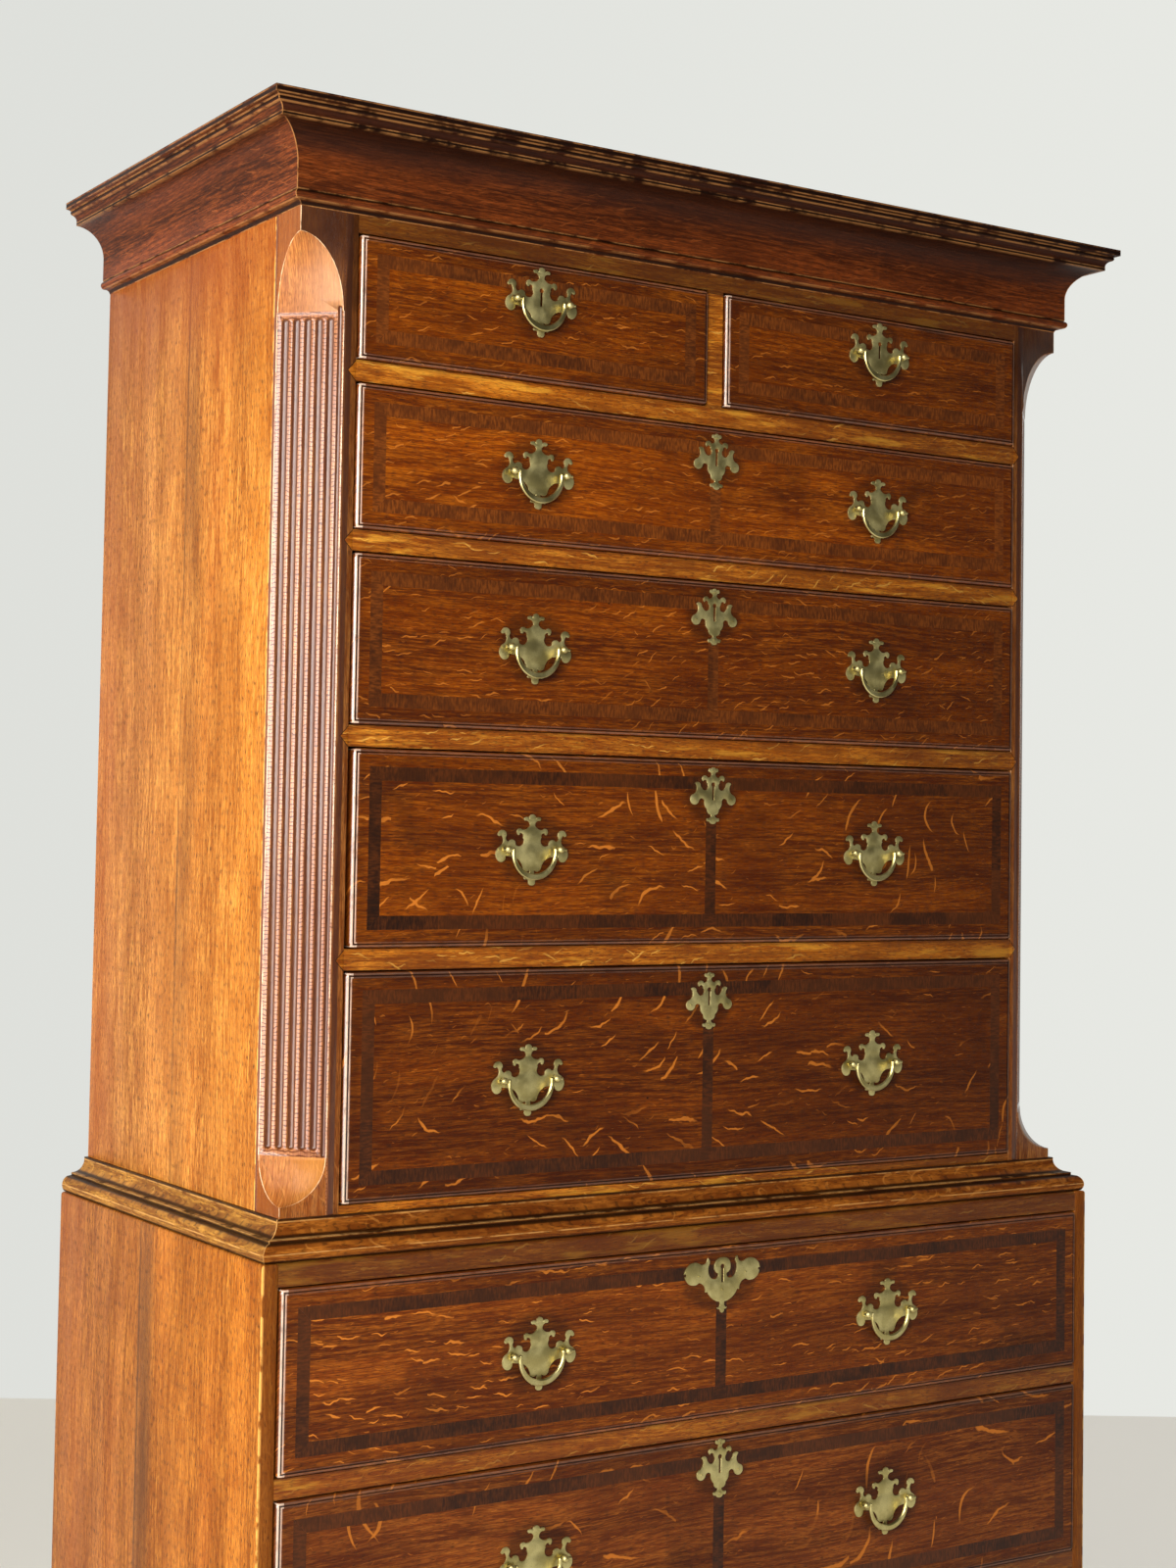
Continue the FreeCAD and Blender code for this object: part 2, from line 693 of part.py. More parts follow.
kicker_start = "upper_front + frieze_thickness"
upper_bearers.append(board(
    "middle_kicker",
    ("-divider_width / 2 - runner_reach", kicker_start, "frieze_base"),
    ("divider_width + 2 * runner_reach", "back_face - (%s)" % kicker_start, "kicker_height")))
upper_bearers += pair(
    "side_kicker", ("opening_half - runner_reach", "upper_front + post_depth", "frieze_base"),
    ("upper_inside - opening_half + runner_reach",
     "back_face - upper_front - post_depth", "kicker_height"))
node("upper_runners", upper_bearers)

rise = size("waist_rise")
reach = size("waist_reach")
lip = size("waist_lip")
seam_line = size("seam_gap")
nose = size("waist_nose")
shelf = seam_line + 2.1 * nose
ledge = shelf + size("waist_fillet")
cove = size("waist_cove")
waist_profile = [
    (0, seam_line), (reach - 0.3 * nose, seam_line),
    ((reach, seam_line + nose), (reach - 0.7 * nose, seam_line + 2 * nose)),
    (reach - 1.3 * nose, shelf), (reach - 1.3 * nose, ledge), (lip + cove, ledge),
    ((lip + 0.3 * cove, ledge + 0.3 * cove), (lip, ledge + cove)),
    (lip, rise), (0, rise),
]
node("waist_moulding", moulding(
    "waist", waist_profile, "upper_half", "upper_front", "seam", "waist_reach",
    "upper_depth"))

rise = size("cornice_rise")
reach = size("cornice_reach")
foot = size("cove_foot")
round_out = size("cove_radius")
bead = size("cornice_bead")
cove_low = 0.41 * rise
cove_high = cove_low + round_out
out = foot + round_out
lip = cove_high + size("cornice_fillet")
cornice_profile = [
    (0, 0), ((0.45 * bead, 0.75 * bead), (foot - 0.45 * bead, bead)),
    ((foot + 0.55 * bead, 2 * bead), (foot - 0.2 * bead, 3 * bead)), (foot, 3.2 * bead),
    (foot, cove_low),
    ((foot + 0.3 * round_out, cove_high - 0.3 * round_out), (out, cove_high)),
    (out, lip), ((out + 0.2 * bead, lip + bead), (out + 1.1 * bead, lip + 1.7 * bead)),
    ((reach - 1.3 * bead, lip + 2 * bead), (reach - 1.3 * bead, lip + 2.7 * bead)),
    (reach - 0.9 * bead, lip + 2.9 * bead), (reach, lip + 3.1 * bead),
    (reach, rise), (0, rise),
]
node("cornice", moulding(
    "cornice", cornice_profile, "upper_half", "upper_front", "cornice_base",
    "cornice_reach", "upper_depth"))

# ---------------------------------------------------------------- canted corners
# A square post whose corner is cut back between two lamb's tongue stops.  Five round flutes
# and a quirk run down the canted face, which is sunk a little below the stops.  The body's
# origin is on the face of the stops.
post = body("corner_post", "upper_half - cant_width / 2", "upper_front + cant_width / 2", "seam")
plan = sketch_on(post, "XY_Plane", "post_plan")
rectangle(
    plan, "-cant_width / 2 - corner_flat", "-cant_width / 2",
    "cant_width / 2", "cant_width / 2 + corner_tail")
pad(plan, "upper_rise")

reach = size("cant_width") / math.sqrt(2)
cut_low = size("tongue_foot_gap")
cut_high = size("cornice_base") - size("seam") - size("tongue_top_gap")
toe = size("tongue_toe")
head = size("tongue_head")


def quarter(centre, across, along, start):
    """A quarter of an ellipse, standing with its long axis upright."""
    flat = Part.Ellipse(centre + Vector(0, along, 0), centre - Vector(across, 0, 0), centre)
    return Part.ArcOfEllipse(flat, start, start + math.pi / 2)


section = sketch_on(post, "XZ_Plane", "post_cant", 0, -45)
foot_of_head = Vector(reach, cut_high - head, 0)
top_of_toe = Vector(reach, cut_low + toe, 0)
sunk = -size("stop_step")
for start, end in (
        ((0, top_of_toe.y), (sunk, top_of_toe.y)),
        ((sunk, top_of_toe.y), (sunk, foot_of_head.y)),
        ((sunk, foot_of_head.y), (0, foot_of_head.y))):
    section.addGeometry(Part.LineSegment(Vector(*start), Vector(*end)))
section.addGeometry(quarter(foot_of_head, reach, head, 0))
outside = reach + 5
section.addGeometry(Part.LineSegment(Vector(reach, cut_high, 0), Vector(outside, cut_high, 0)))
section.addGeometry(Part.LineSegment(Vector(outside, cut_high, 0), Vector(outside, cut_low, 0)))
section.addGeometry(Part.LineSegment(Vector(outside, cut_low, 0), Vector(reach, cut_low, 0)))
section.addGeometry(quarter(top_of_toe, reach, toe, math.pi / 2))
pocket(section, "4 * cant_width", middle=True)


def hollow(name, offset, radius, out, low, high):
    """A round-bottomed groove along the canted face, with round ends."""
    groove_plan = sketch_on(post, "XZ_Plane", name, offset, -45)
    knee = radius / math.sqrt(2)
    curve(groove_plan, [
        (out, low),
        ((out + knee, low + radius - knee), (out + radius, low + radius)),
        (out + radius, high - radius),
        ((out + knee, high - radius + knee), (out, high))])
    groove = post.newObject("PartDesign::Groove", name + "_groove")
    groove.Profile = groove_plan
    spine = sketch_on(post, "XZ_Plane", name + "_axis", offset, -45)
    spine.addGeometry(Part.LineSegment(Vector(out, low, 0), Vector(out, high, 0)))
    groove.ReferenceAxis = (spine, ["Edge1"])
    groove.Angle = 360
    return groove, groove_plan


flute_low = cut_low + toe + size("flute_stop_gap")
flute_high = cut_high - head - size("flute_stop_gap")
hollow(
    "quirk", "quirk_offset", size("quirk_radius"), sunk, top_of_toe.y,
    foot_of_head.y + size("quirk_rise"))
flute, flute_plan = hollow(
    "flute", "-flute_shift - flute_pitch * (flute_count - 1) / 2", size("flute_radius"),
    sunk + size("flute_out"), flute_low, flute_high)
flutes = post.newObject("PartDesign::LinearPattern", "flutes")
flutes.Originals = [flute]
flutes.Direction = (flute_plan, ["N_Axis"])
flutes.setExpression("Length", linked("flute_pitch * (flute_count - 1)"))
flutes.setExpression("Occurrences", linked("flute_count"))
post.Tip = flutes
node("canted_corners", [post, mirrored(post)])

# ---------------------------------------------------------------- brass castings
# The right half of each plate from top to bottom, as drawn at its usual size.
HANDLE_PLATE = [
    (0, 36.7), ((3.3, 35.0), (4.0, 31.4)), ((5.6, 33.6), (8.2, 33.5)),
    ((10.3, 31.7), (8.4, 30.0)), ((5.4, 29.4), (3.2, 24.6)),
    ((5.4, 22.3), (9.2, 20.6)), (12.6, 20.4), ((18.2, 20.4), (18.2, 16.4)),
    ((16.6, 14.9), (15.3, 16.8)), ((12.4, 16.6), (11.2, 12.6)),
    ((12.6, 4.2), (20.4, 5.0)), ((22.4, 9.6), (28.4, 8.2)),
    ((31.4, 9.4), (31.4, 14.0)), ((35.4, 20.0), (41.2, 16.8)),
    ((40.6, 13.6), (38.2, 14.8)), ((35.4, 10.4), (38.6, 3.2)),
    ((43.9, -3.4), (41.4, -11.6)), ((35.4, -12.8), (32.2, -6.8)),
    (21.2, -8.2), ((14.6, -12.4), (11.0, -19.6)), ((7.2, -23.0), (2.8, -21.4)),
    (2.8, -26.6), ((5.6, -28.8), (8.0, -28.2)), ((9.4, -29.8), (8.0, -31.2)),
    ((5.2, -31.2), (4.0, -33.0)), ((3.2, -36.4), (0, -37.3)),
]
KEY_PLATE = [
    (0, 31.0), ((2.0, 30.2), (2.4, 28.6)), ((6.2, 28.6), (3.6, 25.8)), (2.2, 23.4),
    ((4.0, 20.6), (8.0, 19.6)), ((14.8, 19.6), (13.6, 15.6)), ((11.0, 17.2), (8.4, 13.8)),
    ((8.4, 6.8), (15.2, 7.8)), (17.2, 10.6), ((20.6, 14.8), (24.2, 13.2)),
    ((21.8, 8.2), (25.8, 1.4)), ((29.3, -7.6), (19.2, -6.6)),
    ((15.2, -3.0), (11.6, -6.2)), ((11.2, -10.6), (7.6, -15.2)),
    ((6.6, -19.0), (2.4, -20.8)), (2.4, -22.6), ((5.4, -24.6), (7.8, -24.6)),
    ((8.4, -27.0), (4.6, -27.6)), ((3.0, -30.2), (0, -31.0)),
]
EARED_PLATE = [
    (0, 21.6), ((7.6, 19.4), (10.6, 12.0)), ((9.4, 7.4), (5.4, 4.6)),
    ((6.0, 1.2), (8.6, -0.8)), ((13.6, -0.2), (18.4, 6.0)), ((19.0, 11.0), (17.0, 16.4)),
    ((17.4, 20.0), (19.4, 22.2)), ((20.4, 19.6), (21.6, 16.9)), ((25.4, 15.6), (29.8, 16.6)),
    ((42.4, 17.4), (50.0, 6.8)), ((47.6, 5.8), (49.4, 4.6)), ((46.0, -2.2), (38.4, -5.4)),
    ((34.4, -5.2), (31.2, -3.4)), ((25.8, -5.6), (22.4, -14.2)), (19.8, -13.6),
    ((15.8, -19.4), (9.3, -23.9)), ((6.0, -25.2), (3.0, -25.6)), (2.6, -27.6),
    ((3.4, -30.4), (6.4, -31.8)), ((4.6, -33.6), (2.4, -33.2)), ((2.0, -36.4), (0, -37.6)),
]
DRAWN_HANDLE = (88, 74)
DRAWN_KEY = (60, 62)
DRAWN_EARED = (100, 59.2)
KEY_NAILS = [(-24.4, -4.4), (24.4, -4.4), (0, -26), (0, 26)]
EARED_NAILS = [(-31, 3.6), (31, 3.6), (0, -13)]


def keyhole(owner, name, x, z, lift, depth, back=False):
    """A round hole with a slot below it, set from the middle of its plate."""
    hole = sketch_on(owner, "XZ_Plane", name, lift)
    across = number(x)
    middle = number(z) + size("keyhole_rise")
    radius = size("keyhole_radius")
    left = across - size("keyhole_slot") / 2
    right = across + size("keyhole_slot") / 2
    meet = middle - math.sqrt(radius ** 2 - (right - across) ** 2)
    low = middle - size("keyhole_drop")
    curve(hole, [
        (left, meet), ((across, middle + radius), (right, meet)), (right, low), (left, low)])
    pocket(hole, depth, back)


def plate_casting(name, half, width, height, drawn, posts, keyed):
    """A cast plate, with holes for the posts of a handle, or for a key, or for both."""
    casting = body(name)
    face = sketch_on(casting, "XZ_Plane", name + "_face")
    curve(face, scaled(both_sides(half), size(width) / drawn[0], size(height) / drawn[1]))
    if posts:
        circle(face, "post_spacing / 2", "0", "post_hole")
        circle(face, "-post_spacing / 2", "0", "post_hole")
    pad(face, "plate_thickness")
    if keyed:
        keyhole(casting, name + "_hole", "0", "0", "0", "plate_thickness", True)
    return casting


handle_plate = plate_casting(
    "handle_plate", HANDLE_PLATE, "plate_width", "plate_height", DRAWN_HANDLE, True, False)
keyed_handle_plate = plate_casting(
    "keyed_handle_plate", HANDLE_PLATE, "plate_width", "plate_height", DRAWN_HANDLE, True, True)
key_plate = plate_casting(
    "key_plate", KEY_PLATE, "key_plate_width", "key_plate_height", DRAWN_KEY, False, True)
eared_plate = plate_casting(
    "eared_plate", EARED_PLATE, "eared_plate_width", "eared_plate_height", DRAWN_EARED,
    False, True)

nail = doc.addObject("Part::Cone", "plate_nail")
nail.Placement = Placement(Vector(0, 0, 0), Rotation(Vector(1, 0, 0), 90))
nail.setExpression("Radius1", linked("nail_radius"))
nail.setExpression("Radius2", linked("nail_radius / 2"))
nail.setExpression("Height", linked("nail_head"))

# A post is turned: a knob before the plate, on a stem that goes through the drawer front.
handle_post = body("handle_post")
section = sketch_on(handle_post, "XY_Plane", "post_section")
ball = size("post_head")
stem = size("post_stem")
reach = size("post_reach")
tail = size("plate_thickness") + size("front_proud") + size("front_thickness") \
    + size("nut_thickness") + size("stem_tail")
curve(section, [
    (0, -reach - ball), (0.5 * ball, -reach - ball), (ball, -reach - 0.45 * ball),
    (ball, -reach + 0.45 * ball), (stem, -reach + ball), (stem, tail), (0, tail)])
turned = handle_post.newObject("PartDesign::Revolution", "post_turned")
turned.Profile = section
turned.ReferenceAxis = (section, ["V_Axis"])
turned.Angle = 360
bore = sketch_on(handle_post, "YZ_Plane", "post_bore")
circle(bore, "-post_reach", "0", "pin_radius + pin_clearance")
pocket(bore, "4 * post_head", middle=True)

nut_blank = doc.addObject("Part::Box", "nut_blank")
nut_blank.setExpression("Length", linked("nut_width"))
nut_blank.setExpression("Width", linked("nut_thickness"))
nut_blank.setExpression("Height", linked("nut_width"))
place(nut_blank, "-nut_width / 2", "0", "-nut_width / 2")
nut_bore = doc.addObject("Part::Cylinder", "nut_bore")
nut_bore.Placement = Placement(Vector(0, 0, 0), Rotation(Vector(1, 0, 0), -90))
nut_bore.setExpression("Radius", linked("post_stem + 0.05"))
nut_bore.setExpression("Height", linked("nut_thickness"))
nut = doc.addObject("Part::Cut", "handle_nut")
nut.Base = nut_blank
nut.Tool = nut_bore

# A bail is a crescent with bevelled edges; its two pins turn in the posts.
bail = body("bail")
shape = sketch_on(bail, "XZ_Plane", "bail_face", "-bail_arm / 2")
outer = size("bail_half")
arm = size("bail_arm")
inner = outer - arm
drop = size("bail_drop")
shoulder = outer - drop
belly = size("bail_belly") - drop
slant = math.sqrt(0.5)
inner_mid = (slant * inner, shoulder - slant * (shoulder - belly))
curve(shape, [
    (-outer, 0), ((-outer + arm / 2, arm / 2), (-inner, 0)), (-inner, shoulder),
    ((0, belly), (inner, shoulder)), (inner, 0),
    ((outer - arm / 2, arm / 2), (outer, 0)), (outer, shoulder),
    ((0, -drop), (-outer, shoulder)),
])
crescent = pad(shape, "bail_arm")
dress(
    "Chamfer", crescent,
    lambda edge: near(edge.BoundBox.YLength, 0) and edge.BoundBox.DiagonalLength > 0,
    "Size", "bail_chamfer")
for sign, side in (("", "right"), ("-", "left")):
    pin = sketch_on(bail, "YZ_Plane", "pin_" + side, "%s(bail_half - bail_arm / 2)" % sign)
    circle(pin, "0", "0", "pin_radius")
    pad(pin, "pin_end - bail_half + bail_arm / 2", back=side == "left")

# The lock case, screwed into a recess behind the front.
lock = doc.addObject("Part::Box", "lock_case")
lock.setExpression("Length", linked("lock_width"))
lock.setExpression("Width", linked("lock_thickness"))
lock.setExpression("Height", linked("lock_height"))


# ---------------------------------------------------------------- drawers
def drawer(name, middle, half, base, height, front, handles, handle_level, key):
    """A drawer, its crossbanding, its brasses and its bails.

    middle and half give the opening from side to side; base is the top of its rail;
    handles holds the name and place of each handle; key holds the keyhole plate, its nails
    and its drop, or nothing on a short drawer, whose handle plate is pierced for the key and
    which has no middle band."""
    wide = "(%s - drawer_gap)" % half
    high = "(%s - drawer_gap)" % height

    panel = body(name + "_front", middle, front, base)
    plan = sketch_on(panel, "XZ_Plane", name + "_front_plan", "front_proud - field_step")
    rectangle(plan, "-" + wide, "drawer_lift", wide, high)
    slab = pad(plan, "front_thickness + front_proud - field_step", back=True)
    corners = dress(
        "Fillet", slab,
        lambda edge: near(edge.BoundBox.DiagonalLength, edge.BoundBox.YLength),
        "Radius", "corner_radius")
    level = -number("front_proud - field_step")
    dress("Fillet", corners, lambda edge: near(edge.BoundBox.YMax, level), "Radius", "edge_radius")
    field = sketch_on(panel, "XZ_Plane", name + "_field_plan", "front_proud - field_step")
    rectangle(
        field, "-%s + edge_width" % wide, "drawer_lift + edge_width",
        "%s - edge_width" % wide, "%s - edge_width" % high)
    pad(field, "field_step")

    band = sketch_on(panel, "XZ_Plane", name + "_band_plan", "front_proud")
    inlay = ["-%s + band_inset" % wide, "drawer_lift + band_inset",
             "%s - band_inset" % wide, "%s - band_inset" % high]
    inside = ["-%s + band_inset + band_width" % wide, "drawer_lift + band_inset + band_width",
              "%s - band_inset - band_width" % wide, "%s - band_inset - band_width" % high]
    rectangle(band, *inlay)
    if key:
        to_middle = "-(%s)" % middle
        rectangle(band, inside[0], inside[1], "%s - band_width / 2" % to_middle, inside[3])
        rectangle(band, "%s + band_width / 2" % to_middle, inside[1], inside[2], inside[3])
    else:
        rectangle(band, *inside)
    pocket(band, "band_depth")

    holes = sketch_on(panel, "XZ_Plane", name + "_post_plan", "front_proud")
    for _, across in handles:
        for sign in ("+", "-"):
            circle(
                holes, "%s - (%s) %s post_spacing / 2" % (across, middle, sign),
                handle_level, "post_hole")
    pocket(holes, "front_proud + front_thickness")

    if key:
        key_casting, nails, drop = key
        key_x, key_z = middle, "%s - %s" % (height, drop)
    else:
        key_x, key_z = handles[0][1], handle_level
    key_across = "%s - (%s)" % (key_x, middle)
    lock_low = "%s - lock_margin - lock_height" % height
    recess = sketch_on(panel, "XZ_Plane", name + "_lock_plan", "-front_thickness")
    rectangle(recess, "%s - lock_width / 2" % key_across, lock_low,
              "%s + lock_width / 2" % key_across, "%s - lock_margin" % height)
    pocket(recess, "lock_thickness", back=True)
    keyhole(panel, name + "_keyhole", key_across, key_z, "front_proud",
            "front_proud + front_thickness - lock_thickness")

    box_front = "%s + front_thickness" % front
    box_length = "back_face - drawer_play - (%s)" % box_front
    side_rise = "%s - side_drop" % height
    pieces = [panel]
    for sign, side in ((1, "right"), (-1, "left")):
        start = "%s + %s - drawer_side" % (middle, wide) if sign > 0 else "%s - %s" % (middle, wide)
        pieces.append(board(
            "%s_%s_side" % (name, side), (start, box_front, base),
            ("drawer_side", box_length, side_rise)))
    inner_start = "%s - %s + drawer_side" % (middle, wide)
    inner_width = "2 * %s - 2 * drawer_side" % wide
    pieces.append(board(
        name + "_bottom", (inner_start, box_front, "%s + bottom_rise" % base),
        (inner_width, box_length, "drawer_bottom")))
    pieces.append(board(
        name + "_back",
        (inner_start, "back_face - drawer_play - drawer_back",
         "%s + bottom_rise + drawer_bottom" % base),
        (inner_width, "drawer_back",
         "%s - side_drop - back_drop - bottom_rise - drawer_bottom" % height)))
    node(name + "_drawer", pieces)

    def joined(ends):
        """A lengthwise strip, a hair shorter at both ends than its mitres."""
        return [("%s %s band_joint" % (x, sign), z) for (x, z), sign in zip(ends, "+--+")]

    strips = []
    lengths = {
        "low": joined([(inlay[0], inlay[1]), (inlay[2], inlay[1]),
                       (inside[2], inside[1]), (inside[0], inside[1])]),
        "high": joined([(inside[0], inside[3]), (inside[2], inside[3]),
                        (inlay[2], inlay[3]), (inlay[0], inlay[3])]),
        "left": [(inlay[0], inlay[1]), (inside[0], inside[1]),
                 (inside[0], inside[3]), (inlay[0], inlay[3])],
        "right": [(inside[2], inside[1]), (inlay[2], inlay[1]),
                  (inlay[2], inlay[3]), (inside[2], inside[3])],
    }
    if key:
        low, high = inside[1] + " + band_joint", inside[3] + " - band_joint"
        lengths["middle"] = [
            ("%s - band_width / 2" % to_middle, low),
            ("%s + band_width / 2" % to_middle, low),
            ("%s + band_width / 2" % to_middle, high),
            ("%s - band_width / 2" % to_middle, high)]
    for side, corners in lengths.items():
        veneer = body("%s_band_%s" % (name, side), middle, front, base)
        plan = sketch_on(
            veneer, "XZ_Plane", "%s_band_%s_plan" % (name, side), "front_proud")
        outline(plan, corners)
        pad(plan, "band_depth", back=True)
        strips.append(veneer)
    node(name + "_crossband", strips)

    brasses = []
    plate_y = "%s - front_proud" % front
    post_y = "%s - front_proud - plate_thickness" % front
    nut_y = "%s + front_thickness" % front
    level = "%s + %s" % (base, handle_level)
    plate = handle_plate if key else keyed_handle_plate
    for side, across in handles:
        tag = "%s_%s" % (name, side)
        brasses.append(copy_of(plate, tag + "plate", across, plate_y, level))
        for sign, hand in (("+", "right"), ("-", "left")):
            x = "%s %s post_spacing / 2" % (across, sign)
            brasses.append(copy_of(handle_post, tag + hand + "_post", x, post_y, level))
            brasses.append(copy_of(nut, tag + hand + "_nut", x, nut_y, level))
    if key:
        key_level = "%s + %s" % (base, key_z)
        brasses.append(copy_of(key_casting, name + "_key_plate", middle, plate_y, key_level))
        for index, (x, z) in enumerate(nails):
            brasses.append(copy_of(
                nail, "%s_nail_%d" % (name, index + 1), "%s + (%s)" % (middle, x), post_y,
                "%s + (%s)" % (key_level, z)))
    brasses.append(copy_of(
        lock, name + "_lock", "%s - lock_width / 2" % key_x,
        "%s + front_thickness - lock_thickness" % front, "%s + %s" % (base, lock_low)))
    node(name + "_brasses", brasses)

    for side, across in handles:
        label = name + "_bail" + ("_" + side.rstrip("_") if side else "")
        node(label, [copy_of(
            bail, label + "_casting", across, "%s - post_reach" % post_y, level)])


SHORT_DRAWERS = [
    ("upper_short_left", "-short_middle", "-handle_spread"),
    ("upper_short_right", "short_middle", "handle_spread"),
]
for name, middle, across in SHORT_DRAWERS:
    drawer(
        name, middle, "short_half", "short_base", "short_height", "upper_front",
        [("", across)], "(short_height / 2 + short_handle_rise)", None)

TWO_HANDLES = [("left_", "-handle_spread"), ("right_", "handle_spread")]
UPPER_KEY = (key_plate, KEY_NAILS, "key_drop")
LOWER_KEY = (key_plate, KEY_NAILS, "low_key_drop")
EARED_KEY = (eared_plate, EARED_NAILS, "low_key_drop")
LONG_DRAWERS = [
    ("upper_long_1", "long_one", "0", "opening_half", "upper_front", UPPER_KEY),
    ("upper_long_2", "long_two", "0", "opening_half", "upper_front", UPPER_KEY),
    ("upper_long_3", "long_three", "worn_gap / 2", "(opening_half - worn_gap / 2)",
     "upper_front", UPPER_KEY),
    ("upper_long_4", "long_four", "0", "opening_half", "upper_front", UPPER_KEY),
    ("lower_long_1", "low_one", "0", "lower_inside", "lower_front", EARED_KEY),
    ("lower_long_2", "low_two", "0", "lower_inside", "lower_front", LOWER_KEY),
    ("lower_long_3", "low_three", "0", "lower_inside", "lower_front", LOWER_KEY),
]
for name, opening, middle, half, front, key in LONG_DRAWERS:
    drawer(
        name, middle, half, opening + "_base", opening + "_height", front,
        TWO_HANDLES, "(%s_height / 2)" % opening, key)

# ---------------------------------------------------------------- checking and writing
doc.recompute()
for item in doc.Objects:
    if "Invalid" in item.State or "Error" in item.State:
        raise RuntimeError("%s did not build" % item.Name)
for group in nodes:
    if group.Shape.isNull() or not group.Shape.isValid() or not group.Shape.Solids:
        raise RuntimeError("%s has no sound solid" % group.Label)

os.makedirs("parts", exist_ok=True)
for group in nodes:
    group.Shape.exportStep("parts/%s.step" % group.Label)
print("%d nodes, %d solids" % (len(nodes), sum(len(group.Shape.Solids) for group in nodes)))
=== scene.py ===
import math

import bmesh
import bpy
from mathutils import Matrix, Vector


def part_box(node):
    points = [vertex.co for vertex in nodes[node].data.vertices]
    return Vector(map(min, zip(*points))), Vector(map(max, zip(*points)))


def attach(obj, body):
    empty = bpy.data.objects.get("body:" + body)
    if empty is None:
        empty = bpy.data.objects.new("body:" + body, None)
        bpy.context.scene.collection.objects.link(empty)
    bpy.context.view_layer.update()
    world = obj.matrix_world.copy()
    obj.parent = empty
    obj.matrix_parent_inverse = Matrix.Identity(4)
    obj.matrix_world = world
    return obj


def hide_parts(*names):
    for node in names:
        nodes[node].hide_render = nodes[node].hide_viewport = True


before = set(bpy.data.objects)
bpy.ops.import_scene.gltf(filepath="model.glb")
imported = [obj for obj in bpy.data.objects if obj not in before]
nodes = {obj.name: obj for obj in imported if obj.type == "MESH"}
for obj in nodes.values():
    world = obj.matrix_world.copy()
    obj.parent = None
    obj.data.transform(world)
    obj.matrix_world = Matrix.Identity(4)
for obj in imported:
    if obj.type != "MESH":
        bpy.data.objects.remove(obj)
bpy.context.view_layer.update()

# ---------------------------------------------------------------- view of the chest
# Seen from the left of the front at a little over a metre from the floor, close enough that
# the feet and the lowest drawers fall out of the picture.  The picture's size, the
# focal length and the foot of the lens axis are in pixels.
camera_place = Vector((-1.5556, -2.3879, 1.2287))
camera_turn = math.radians(-32.89)
camera_rise = math.radians(2.73)
camera_tilt = math.radians(0.92)
picture = (1200, 1600)
focal_pixels = 2474.6
centre_pixel = (602.8, 730.0)

ahead = Vector((
    -math.sin(camera_turn) * math.cos(camera_rise),
    math.cos(camera_turn) * math.cos(camera_rise),
    math.sin(camera_rise)))
level = Vector((math.cos(camera_turn), math.sin(camera_turn), 0))
above = level.cross(ahead)
right = level * math.cos(camera_tilt) + above * math.sin(camera_tilt)
up = above * math.cos(camera_tilt) - level * math.sin(camera_tilt)
lens = bpy.data.cameras.new("camera")
lens.sensor_fit = "HORIZONTAL"
lens.sensor_width = 36
lens.lens = focal_pixels / picture[0] * lens.sensor_width
lens.shift_x = (picture[0] / 2 - centre_pixel[0]) / picture[0]
lens.shift_y = (centre_pixel[1] - picture[1] / 2) / picture[0]
camera = bpy.data.objects.new("camera", lens)
camera.matrix_world = Matrix.Translation(camera_place) @ Matrix(
    (right, up, -ahead)).transposed().to_4x4()
bpy.context.scene.collection.objects.link(camera)
bpy.context.scene.camera = camera


# ---------------------------------------------------------------- room
# A plain pale floor that meets a plain pale wall behind the chest.  Both show their own shade
# where they are seen, and the floor keeps part of the chest's shadow.
def add(tree, kind, sockets=None, **settings):
    """One shader node; a socket takes a plain value or another node's output."""
    made = tree.nodes.new("ShaderNode" + kind)
    for name, value in settings.items():
        setattr(made, name, value)
    for name, value in (sockets or {}).items():
        feed(tree, made.inputs[name], value)
    return made


def feed(tree, socket, value):
    """Give a socket a plain value, or link it to another node's output."""
    if isinstance(value, bpy.types.NodeSocket):
        tree.links.new(value, socket)
    else:
        socket.default_value = value


def maths(tree, operation, *terms):
    """The result of a sum on two or three terms."""
    return add(tree, "Math", dict(enumerate(terms)), operation=operation).outputs[0]


def between(tree, value, low, high, first=0.0, last=1.0):
    """A smooth step from first to last as a value goes from low to high."""
    return add(tree, "MapRange", {
        "Value": value, "From Min": low, "From Max": high, "To Min": first, "To Max": last,
    }, interpolation_type="SMOOTHSTEP").outputs["Result"]


def noise(tree, vector, scale, detail=2.0, roughness=0.5, dimensions="3D"):
    """Smooth noise round a half, with so many spots to the metre."""
    return add(tree, "TexNoise", {
        "Vector": vector, "Scale": scale, "Detail": detail, "Roughness": roughness,
    }, noise_dimensions=dimensions).outputs["Fac"]


def mixed(tree, share, first, second):
    """Two colours mixed; a share of 1 gives the second."""
    mix = add(tree, "Mix", data_type="RGBA")
    for index, value in ((0, share), (6, first), (7, second)):
        feed(tree, mix.inputs[index], value)
    return mix.outputs[2]


def blank_material(name):
    """A material with nothing in it but its shader."""
    material = bpy.data.materials.new(name)
    material.use_nodes = True
    tree = material.node_tree
    return material, tree, tree.nodes["Principled BSDF"]


